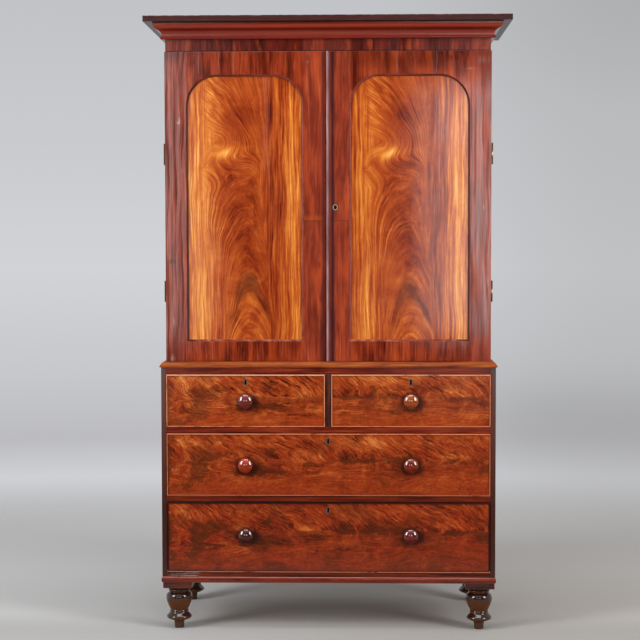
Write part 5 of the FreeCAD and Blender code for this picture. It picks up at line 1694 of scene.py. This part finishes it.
@dataclass
class Fixings:
    """Screws or nails: one head repeated at places and turned by a fixed seed."""

    radius: float
    rise: float
    slotted: bool
    finish: Finish
    sides: int = 20
    slot_share: float = 0.16  # half the slot's width over the head's radius

    def head(self) -> bpy.types.Object:
        """The head of one fixing, facing up, with its slot if it has one."""
        made = bmesh.new()
        if self.slotted:
            self._half(made, 1)
            self._half(made, -1)
            top, depth, lift = 0.97, 0.8, -0.2
        else:
            top, depth, lift = 0.8, 1.6, 0.2
        base = bmesh.ops.create_cone(
            made,
            cap_ends=True,
            segments=self.sides,
            radius1=self.radius * 0.97 * MM,
            radius2=self.radius * top * MM,
            depth=self.rise * depth * MM,
        )
        bmesh.ops.translate(made, verts=base["verts"], vec=(0, 0, lift * self.rise * MM))
        bmesh.ops.recalc_face_normals(made, faces=made.faces)
        return new_object("fixing_head", to_mesh(made, "fixing_head"))

    def _half(self, made: bmesh.types.BMesh, side: int) -> None:
        """Adds the half of a screw's head on one side of its slot.

        Args:
            made: The surface that it is added to.
            side: One or minus one.
        """
        gap = self.slot_share * self.radius
        start = math.asin(self.slot_share)
        angles = [start + (math.pi - 2 * start) * i / self.sides for i in range(self.sides + 1)]
        rings = []
        for share, level in ((1.0, -0.6), (1.0, 0.55), (0.86, 1.0)):
            wide, z = self.radius * share, level * self.rise * MM
            spots = [(math.cos(a) * wide * MM, max(math.sin(a) * wide, gap) * MM) for a in angles]
            rings.append([made.verts.new((x, side * y, z)) for x, y in spots])
        for below, above in zip(rings, rings[1:]):
            for i in range(len(below)):
                j = (i + 1) % len(below)
                made.faces.new((below[i], below[j], above[j], above[i]))
        made.faces.new(rings[-1])
        made.faces.new(rings[0][::-1])

    def drive(
        self, name: str, places: Sequence[tuple[Vector, Vector]], seed: int
    ) -> bpy.types.Object:
        """Sets a head at each place.

        Args:
            name: The finished piece's name.
            places: Where each head sits, in millimetres, and the way it faces.
            seed: Fixes how the heads are turned.

        Returns:
            The heads as one plain mesh.
        """
        mesh = bpy.data.meshes.new("places")
        mesh.from_pydata([tuple(p * MM) for p, _ in places], [], [])
        facing = mesh.attributes.new("facing", "FLOAT_VECTOR", "POINT")
        for item, (_, way) in zip(facing.data, places):
            item.vector = way
        holder = new_object("places", mesh)
        head = self.head()
        modifier = holder.modifiers.new("fixings", "NODES")
        modifier.node_group = tree = self._tree()
        values = {"Head": head, "Finish": self.finish.material(), "Seed": seed}
        for item in tree.interface.items_tree:
            if item.name in values:
                modifier[item.identifier] = values[item.name]
        made = evaluated(holder, name)
        bpy.data.objects.remove(head)
        return made

    @staticmethod
    def _tree() -> bpy.types.NodeTree:
        """The tree that repeats a head over points, made once."""
        known = bpy.data.node_groups.get("drive_fixings")
        if known is not None:
            return known
        tree = bpy.data.node_groups.new("drive_fixings", "GeometryNodeTree")
        face = tree.interface
        for name, kind in (
            ("Geometry", "NodeSocketGeometry"), ("Head", "NodeSocketObject"),
            ("Finish", "NodeSocketMaterial"), ("Seed", "NodeSocketInt"),
        ):
            face.new_socket(name, in_out="INPUT", socket_type=kind)
        face.new_socket("Geometry", in_out="OUTPUT", socket_type="NodeSocketGeometry")
        web = Web(tree)
        given = web.node("NodeGroupInput").outputs
        facing = web.take(
            "GeometryNodeInputNamedAttribute", {"data_type": "FLOAT_VECTOR"}, {"Name": "facing"}
        )
        aim = web.take("FunctionNodeAlignRotationToVector", {"axis": "Z"}, {"Vector": facing})
        turn = web.take(
            "FunctionNodeRandomValue",
            {"data_type": "FLOAT"},
            {2: 0.0, 3: 2 * math.pi, "Seed": given["Seed"]},
            1,
        )
        spin = web.take("ShaderNodeCombineXYZ", None, {2: turn})
        local = web.take("FunctionNodeEulerToRotation", None, {0: spin})
        rotation = web.take(
            "FunctionNodeRotateRotation", {"rotation_space": "LOCAL"}, {0: aim, 1: local}
        )
        head = web.take("GeometryNodeObjectInfo", None, {"Object": given["Head"]}, "Geometry")
        set_out = web.take(
            "GeometryNodeInstanceOnPoints",
            None,
            {"Points": given["Geometry"], "Instance": head, "Rotation": rotation},
        )
        real = web.take("GeometryNodeRealizeInstances", None, {"Geometry": set_out})
        done = web.take(
            "GeometryNodeSetMaterial", None, {"Geometry": real, "Material": given["Finish"]}
        )
        web.node("NodeGroupOutput", None, {"Geometry": done})
        return tree


# --------------------------------------------------------------- the finishes

RED = ("#3c0f08", "#6a2010", "#92351a", "#b44e24")
FRAME_RED = ("#3c1108", "#6c2212", "#983a20", "#c0562a")
YELLOW_BRASS = ("#b0925a", "#5d4c33")
OAK = PlainTimber("bare_oak", "oak", Axis.DEEP, "#b98a52", "#7c5228", 16.0)
PINE_UP = PlainTimber("pine_upright", "pine", Axis.UP, "#b58c5a", "#7d5630", 26.0, knots=0.7)
PINE_ACROSS = PlainTimber("pine_across", "pine", Axis.ACROSS, "#ad8452", "#74502c", 26.0, knots=0.7)
PINE_DEEP = PlainTimber("pine_deep", "pine", Axis.DEEP, "#ad8452", "#74502c", 26.0)
SIDE_UP = SideFinish(
    "side_mahogany", "carcass_mahogany", Axis.UP, ("#28120b", "#421b11", "#5a2516", "#78341e"),
    3.0, width=30.0,
)
RAIL_ACROSS = Mahogany(
    "rail_mahogany", "carcass_mahogany", Axis.ACROSS, ("#3c1008", "#661c0f", "#842d14", "#a2441e"),
    5.0, width=7.0, stretch=30.0, dim=0.55, torn=(-566.0, -452.0, 194.0, 210.5),
    soffits=(461.0, 706.0, 915.0), sheen=0.3,
)
DIVIDER_UP = Mahogany(
    "divider_mahogany", "carcass_mahogany", Axis.UP, ("#281410", "#44201a", "#5a2a1c", "#743620"),
    7.0, width=9.0,
)
TRAY_WOOD = Mahogany(
    "tray_mahogany", "carcass_mahogany", Axis.ACROSS, RED, 9.0, width=22.0, rough=0.4
)
FRIEZE = CrossBanding(
    "frieze_mahogany", "frame_mahogany", Axis.UP, ("#300c08", "#54170e", "#741f10", "#943014"),
    11.0, rough=0.2, leaf=141.0, glow=0.6, shade=0.45, dark_edge=2048.5,
)
DOOR_FRAME = CrossBanding(
    "door_frame_mahogany",
    "frame_mahogany",
    Axis.UP,
    FRAME_RED,
    13.0,
    rough=0.10,
    meeting=0.95,
    upper_edge=2047.0,
    cracks=(-453.0, -381.0, -331.0, 242.0, 381.0),
    pale_knocks=patches(
        (-521.0, 1807.0, 3.5, 10.0, 0.9), (-526.0, 1799.0, 5.0, 4.0, 0.7),
        (-511.0, 1630.0, 3.0, 8.0, 0.6), (-545.0, 1100.0, 3.0, 14.0, 0.4),
        (-550.0, 968.0, 8.0, 12.0, 0.7), (-70.0, 2010.0, 4.0, 5.0, 0.3),
        (500.0, 1985.0, 14.0, 4.0, 0.4), (546.0, 1500.0, 2.5, 9.0, 0.6),
        (560.0, 1240.0, 3.0, 18.0, 0.4), (545.0, 2015.0, 20.0, 12.0, 0.35),
    ),
    dark_knocks=patches(
        (-550.0, 1312.0, 14.0, 8.0, 0.9), (-300.0, 1000.0, 10.0, 6.0, 0.6),
        (-30.0, 1300.0, 4.0, 12.0, 0.7), (-25.0, 1180.0, 3.0, 9.0, 0.6),
        (530.0, 1500.0, 6.0, 14.0, 0.5), (-470.0, 2012.0, 9.0, 16.0, 0.6),
        (440.0, 2025.0, 16.0, 8.0, 0.5), (310.0, 2012.0, 190.0, 34.0, 0.62),
    ),
)
CORNICE = CorniceFinish(
    "cornice_mahogany", "moulding_mahogany", Axis.ACROSS,
    ("#7e1c0a", "#a6240f", "#c43a18", "#de5822"), 15.0, width=9.0, stretch=30.0, gain=0.45,
    rough=0.2, sheen=0.4,
)
WAIST = Mahogany(
    "waist_mahogany", "moulding_mahogany", Axis.ACROSS,
    ("#561c06", "#7e320a", "#9c4a12", "#ba6822"), 17.0, width=9.0, stretch=20.0, rough=0.5,
    worn=0.1, marks=1.0, sheen=0.2,
)
BASE = Mahogany(
    "base_mahogany", "moulding_mahogany", Axis.ACROSS,
    ("#340c05", "#5a180c", "#7c2812", "#9c3c1a"), 19.0, width=8.0, stretch=30.0, gain=0.9,
    rough=0.2, worn=0.3, sheen=0.38, ledge=193.0,
)
# Pale pinkish tones: the astragal's painted highlight.
ASTRAGAL = AstragalFinish(
    "astragal_mahogany", "moulding_mahogany", Axis.UP,
    ("#7e4a46", "#a06864", "#b47e7c", "#c69492"), 21.0, width=12.0, rough=0.25, sheen=0.2,
)
BLOCKS = Mahogany(
    "block_mahogany", "turned_mahogany", Axis.ACROSS, ("#220b07", "#3e170e", "#562112", "#70321c"),
    23.0, width=9.0, rough=0.28,
)
# The feet's undersides get painted bounce light.
FEET = Turned(
    "foot_mahogany", "turned_mahogany", "#1a0b08", "#44220f", rough=0.12, sheen=0.5, coat=0.5,
    bounce=0.6,
)
KNOBS = {
    drawer: Turned(f"knob_{place}", "turned_mahogany", dark, light, left, right, rough)
    for drawer, place, dark, light, left, right, rough in (
        ("left_short_drawer", "top_left", "#561812", "#86342a", 0.2, 0.2, 0.10),
        ("right_short_drawer", "top_right", "#62220c", "#c0602a", 0.2, 0.2, 0.11),
        ("middle_drawer", "middle", "#481206", "#ae360c", 0.35, 0.0, 0.10),
        ("bottom_drawer", "bottom", "#300f0c", "#70201a", -0.1, 0.35, 0.10),
    )
}
PANEL_BEAD = PanelBead("panel_bead_mahogany", "bead_mahogany")
BRASS = Metal("old_brass", "brass", *YELLOW_BRASS)
HINGES = HingeMetal("hinge_brass", "brass", *YELLOW_BRASS)
STEEL = Metal("old_steel", "steel", "#8b8782", "#4a4440")
DRAWER_LOCK = LockMetal("drawer_lock_brass", "brass", *YELLOW_BRASS)
DOOR_LOCK = LockMetal("door_lock_brass", "brass", *YELLOW_BRASS, face=-238.4, liner="#a3937f")
SCREWS = Fixings(2.6, 0.7, True, Metal("screw_brass", "brass", "#a88a54", "#54452e", 75.0))
NAILS = Fixings(2.2, 0.25, False, Metal("nail_iron", "steel", "#5c544c", "#2e2824", 77.0))

# Half section of a turned foot: height and radius, from the floor up.
FOOT = (
    (0.0, 16.5), (14.0, 17.6), (26.0, 19.6), (30.0, 29.0), (36.0, 41.5), (42.0, 45.0),
    (47.0, 43.0), (54.0, 36.0), (59.0, 32.6), (62.0, 33.6), (65.0, 33.0), (67.0, 31.5),
    (70.0, 32.6), (80.0, 37.5), (92.0, 42.6), (104.0, 45.9), (112.0, 46.5), (120.0, 45.2),
    (126.0, 41.5), (130.0, 36.5), (132.0, 34.4), (134.5, 36.2), (138.0, 38.6), (141.5, 37.6),
    (144.0, 35.2), (146.5, 37.6), (149.0, 39.6), (151.0, 40.0),
)


# ------------------------------------------------------------ the sub-assemblies


@dataclass
class Cornice:
    """The loose cornice: moulding, frieze and pine frame."""

    arris: float = 0.8

    def build(self, shop: Workshop) -> None:
        """Makes and dresses the cornice."""
        shop.shape("cornice_moulding", "case", CORNICE, self.arris)
        shop.shape("cornice_frieze", "case", FRIEZE, self.arris)
        shop.shape("cornice_frame", "case", PINE_ACROSS, 1.2, 1)


@dataclass
class Cupboard:
    """The upper carcass with its trays and back."""

    arris: float = 1.2
    nail_inset: float = 14.0

    def build(self, shop: Workshop) -> None:
        """Makes and dresses the upper carcass."""
        shop.shape("upper_sides", "case", SIDE_UP, self.arris)
        for node, finish in (
            ("upper_top_and_bottom", PINE_ACROSS), ("upper_back_boards", PINE_UP),
            ("tray_runners", PINE_DEEP), ("linen_trays", TRAY_WOOD),
        ):
            shop.shape(node, "case", finish, self.arris, 1)
        shop.dress("hinge_case_leaves", HINGES)
        shop.nail_back("upper_back_boards", "upper_back_nails", self.nail_inset, 3)


@dataclass
class Door:
    """One door: frame, flame-veneered panel, bead, and what is fixed to it."""

    side: str
    panel: FlamePanel
    extras: Mapping[str, Finish]
    plates: tuple[tuple[float, float, float, float, float], ...]
    arris: float = 1.0
    back: float = -214.0

    def build(self, shop: Workshop) -> None:
        """Makes and dresses the door."""
        body = f"{self.side}_door"
        shop.shape(f"{body}_frame", body, DOOR_FRAME, self.arris)
        shop.shape(f"{body}_panel", body, self.panel, 0.0)
        shop.shape(f"{body}_bead", body, PANEL_BEAD, 0.5)
        for extra, finish in self.extras.items():
            shop.dress(f"{body}_{extra}", finish)
        places = [place for plate in self.plates for place in corners(*plate)]
        shop.fix(f"{body}_screws", body, SCREWS, places, self.back, 5)


@dataclass
class Drawer:
    """One drawer: veneered front, cock beads, knobs, box and lock."""

    name: str
    front: CrotchFront
    pale: str
    dark: str
    pale_foot: bool = False
    arris: float = 0.6
    screw_inset: float = 6.0

    def build(self, shop: Workshop) -> None:
        """Makes and dresses the drawer."""
        shop.shape(f"{self.name}_front", self.name, self.front, self.arris, 1)
        low, high = (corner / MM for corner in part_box(f"{self.name}_bead"))
        sides = (low.x, high.x, low.z, high.z)
        bead_name = f"cock_bead_{self.name}"
        bead = BeadFinish(bead_name, "bead_mahogany", self.pale, self.dark, *sides, self.pale_foot)
        shop.shape(f"{self.name}_bead", self.name, bead, 0.9)
        shop.shape(f"{self.name}_box", self.name, OAK, 0.6, 1)
        shop.shape(f"{self.name}_knobs", self.name, KNOBS[self.name], 0.0)
        shop.dress(f"{self.name}_lock", DRAWER_LOCK)
        shop.dress(f"{self.name}_bolt", STEEL)
        low, high = (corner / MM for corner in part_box(f"{self.name}_lock"))
        places = corners(low.x, high.x, low.z, high.z, self.screw_inset)
        shop.fix(f"{self.name}_screws", self.name, SCREWS, places, high.y, 6)


@dataclass
class Chest:
    """The lower carcass on its blocks and turned feet."""

    arris: float = 1.2
    foot_high: float = 151.0
    tenon: Pair = (14.0, 21.0)
    nail_inset: float = 12.0

    def build(self, shop: Workshop) -> None:
        """Makes and dresses the chest."""
        shop.shape("lower_sides", "case", SIDE_UP, self.arris)
        shop.shape("drawer_rails", "case", RAIL_ACROSS, 0.8)
        shop.shape("drawer_divider", "case", DIVIDER_UP, 0.8)
        shop.shape("waist_moulding", "case", WAIST, 0.6)
        shop.shape("base_moulding", "case", BASE, 1.0)
        shop.shape("foot_blocks", "case", BLOCKS, 1.2)
        shop.turn("feet", "case", FEET, FOOT, self.foot_high, self.tenon)
        for node, finish in (
            ("lower_top_board", PINE_ACROSS), ("lower_bottom_board", PINE_ACROSS),
            ("lower_back_boards", PINE_UP), ("drawer_runners", PINE_DEEP),
            ("dust_boards", PINE_ACROSS), ("drawer_stops", PINE_ACROSS),
        ):
            shop.shape(node, "case", finish, 1.0, 1)
        shop.nail_back("lower_back_boards", "lower_back_nails", self.nail_inset, 4)


# ------------------------------------------------------------------ the studio


@dataclass(frozen=True)
class Softbox:
    """One soft lamp."""

    name: str
    place: Triple
    aim: Triple
    wide: float
    tall: float
    power: float

    def light(self) -> None:
        """Puts the lamp in the scene."""
        lamp = bpy.data.lights.new(self.name, "AREA")
        lamp.shape = "RECTANGLE"
        lamp.size, lamp.size_y, lamp.energy = self.wide, self.tall, self.power
        turn = (Vector(self.aim) - Vector(self.place)).to_track_quat("-Z", "Y")
        spot = Matrix.Translation(self.place)
        new_object(self.name, lamp).matrix_world = spot @ turn.to_matrix().to_4x4()


@dataclass(frozen=True)
class Studio:
    """Floor, backdrop, lamps and camera."""

    camera_place: Triple = (0.12585, -5.97079, 1.40345)
    pitch: float = -0.0519
    yaw: float = 0.0269
    roll: float = 0.0019
    lens: float = 91.59
    sensor: float = 36.0
    floor_radius: float = 5.0
    curtain_reach: float = 8.5
    curtain_tall: float = 6.0
    curtain_half: float = 66.0  # degrees to each side of the camera
    curtain_folds: int = 24
    carpet_reach: float = 0.8
    carpet_depth: float = 0.005  # how far the carpet lies under the floor
    glow_strength: float = 0.36
    lamps: tuple[Softbox, ...] = (
        Softbox("key_left", (-4.1, -3.1, 2.9), (0, -0.2, 1.1), 1.5, 3.2, 180),
        Softbox("key_right", (4.2, -3.1, 2.9), (0, -0.2, 1.1), 1.5, 3.2, 172),
        Softbox("wall_left", (-1.69, -6.3, 1.7), (-1.69, 0, 1.7), 1.06, 2.1, 22),
        Softbox("wall_right", (1.145, -6.3, 1.6), (1.145, 0, 1.6), 1.155, 1.8, 27.5),
        Softbox("overhead", (0, -1.4, 4.3), (0, -0.2, 1.0), 3.0, 1.2, 50),
    )

    def build(self) -> None:
        """Sets everything up."""
        self._floor()
        self._curtain()
        self._world()
        for lamp in self.lamps:
            lamp.light()
        self._camera()
        bpy.context.scene.view_settings.view_transform = "Standard"

    def _floor(self) -> None:
        """The floor, a wide disc that fades out."""
        made = bmesh.new()
        bmesh.ops.create_circle(made, cap_ends=True, segments=96, radius=self.floor_radius)
        self._stage(made, "floor", Paper("floor_paper", "floor"))

    @staticmethod
    def _stage(made: bmesh.types.BMesh, name: str, finish: Finish) -> bpy.types.Object:
        """Makes a surface part of the studio."""
        obj = new_object(name, to_mesh(made, name))
        obj.data.materials.append(finish.material())
        return obj

    def _curtain(self) -> None:
        """A dark curtain and carpet behind the camera, which keep the polish from looking milky."""
        made = bmesh.new()
        rows = []
        for i in range(self.curtain_folds + 1):
            turn = 2 * self.curtain_half * i / self.curtain_folds - self.curtain_half
            angle = math.radians(turn - 90)
            foot = Vector((math.cos(angle), math.sin(angle), 0)) * self.curtain_reach
            near = foot * (self.carpet_reach / self.curtain_reach)
            below = Vector((0, 0, self.carpet_depth))
            spots = (near, foot, foot + Vector((0, 0, self.curtain_tall)))
            rows.append([made.verts.new(spot - below) for spot in spots])
        for before, after in zip(rows, rows[1:]):
            for low, high in ((0, 1), (1, 2)):
                made.faces.new((before[low], after[low], after[high], before[high]))
        curtain = self._stage(made, "curtain", Cloth("curtain_cloth", "floor"))
        curtain.visible_camera = False

    def _world(self) -> None:
        """A pale backdrop, and the soft light that comes from all round."""
        world = bpy.data.worlds.new("studio")
        bpy.context.scene.world = world
        world.use_nodes = True
        world.node_tree.nodes.clear()
        web = Web(world.node_tree)
        side, _, height = web.split(web.take("ShaderNodeTexCoord", output="Generated"))
        wall = web.ramp(height * 2.0 + 0.5, WALL_RAMP)
        wall = web.mix(side.smooth(-0.02, 0.16) * 0.5, wall, "#acacac")
        wall = web.mix(side.smooth(0.0, 0.16) * height.smooth(0.06, 0.14) * 0.2, wall, "#8c8c8c")
        dip = side.smooth(0.03, 0.12) * height.bell(-0.112, 0.024)
        wall = web.mix(dip * 0.32, wall, "#8c8c8c")
        shown = web.take("ShaderNodeBackground", None, {"Color": wall, "Strength": 1.0})
        haze = {"Color": tone("#f4f4f6"), "Strength": self.glow_strength}
        glow = web.take("ShaderNodeBackground", None, haze)
        rays = web.node("ShaderNodeLightPath").outputs
        camera, glossy, through = (
            Field(web, rays[f"Is {kind} Ray"]) for kind in ("Camera", "Glossy", "Transmission")
        )
        web.end("ShaderNodeOutputWorld", web.join(camera.most(glossy).most(through), glow, shown))

    def _camera(self) -> None:
        """The camera, a little above the middle of the press."""
        data = bpy.data.cameras.new("camera")
        data.lens, data.sensor_width = self.lens, self.sensor
        camera = new_object("camera", data)
        camera.matrix_world = (
            Matrix.Translation(self.camera_place)
            @ Matrix.Rotation(self.yaw, 4, "Z")
            @ Matrix.Rotation(self.pitch + math.pi / 2, 4, "X")
            @ Matrix.Rotation(-self.roll, 4, "Z")
        )
        bpy.context.scene.camera = camera


LEFT_PANEL = FlamePanel("flame_left", "flame_mahogany", -497.5, 1030.5, 412.5, 936.5, 3.0)
RIGHT_PANEL = FlamePanel(
    "flame_right", "flame_mahogany", 75.5, 1030.5, 422.0, 936.5, 3.35, axis=0.50, gain=0.95,
    lift=-0.01, left_lift=0.15, right_lift=0.17, cut=0.5,
)
SHORT_FRONT = CrotchFront("crotch_short", "flame_mahogany", 821.4, 186.0, 0.04)
MIDDLE_FRONT = CrotchFront(
    "crotch_middle", "flame_mahogany", 594.4, 222.0, -0.02, red=0.12, stain=0.65, seed=20.4
)
BOTTOM_FRONT = CrotchFront(
    "crotch_bottom", "flame_mahogany", 344.4, 250.0, -0.13, red=0.18, stain=0.75, seed=20.9,
    spread=0.035,
)
LEFT_DOOR = Door(
    "left", LEFT_PANEL,
    {"hinge_leaves": HINGES, "bolt_plates": BRASS, "top_bolt": BRASS, "bottom_bolt": BRASS},
    ((-43.0, -19.0, 1933.0, 2035.0, 4.0), (-43.0, -19.0, 972.5, 1074.5, 4.0)),
)
RIGHT_DOOR = Door(
    "right", RIGHT_PANEL, {"hinge_leaves": HINGES, "lock": DOOR_LOCK, "lock_bolt": STEEL},
    ((-8.0, 52.0, 1479.0, 1525.0, 6.0),),
)
# Each bead's pale colour is a painted highlight; the bottom drawer's near-black bead is painted
# shade.
DRAWERS = (
    Drawer("left_short_drawer", SHORT_FRONT, "#ffb084", "#9a441c"),
    Drawer("right_short_drawer", SHORT_FRONT, "#ffa274", "#9a441c"),
    Drawer("middle_drawer", MIDDLE_FRONT, "#de8259", "#8c3c1a"),
    Drawer("bottom_drawer", BOTTOM_FRONT, "#ec9c74", "#30100a", pale_foot=True),
)


def main() -> None:
    """Builds the press and the studio round it."""
    logging.basicConfig(level=logging.INFO, format="%(name)s: %(message)s")
    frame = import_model()
    shop = Workshop(frame["nodes"])
    for assembly in (Cornice(), Cupboard(), LEFT_DOOR, RIGHT_DOOR):
        assembly.build(shop)
    shop.shape("right_door_astragal", "right_door", ASTRAGAL, 0.4)
    for assembly in (Chest(), *DRAWERS):
        assembly.build(shop)
    Studio().build()
    LOG.info("%d pieces dressed", len(shop.made))


if __name__ == "__main__":
    main()
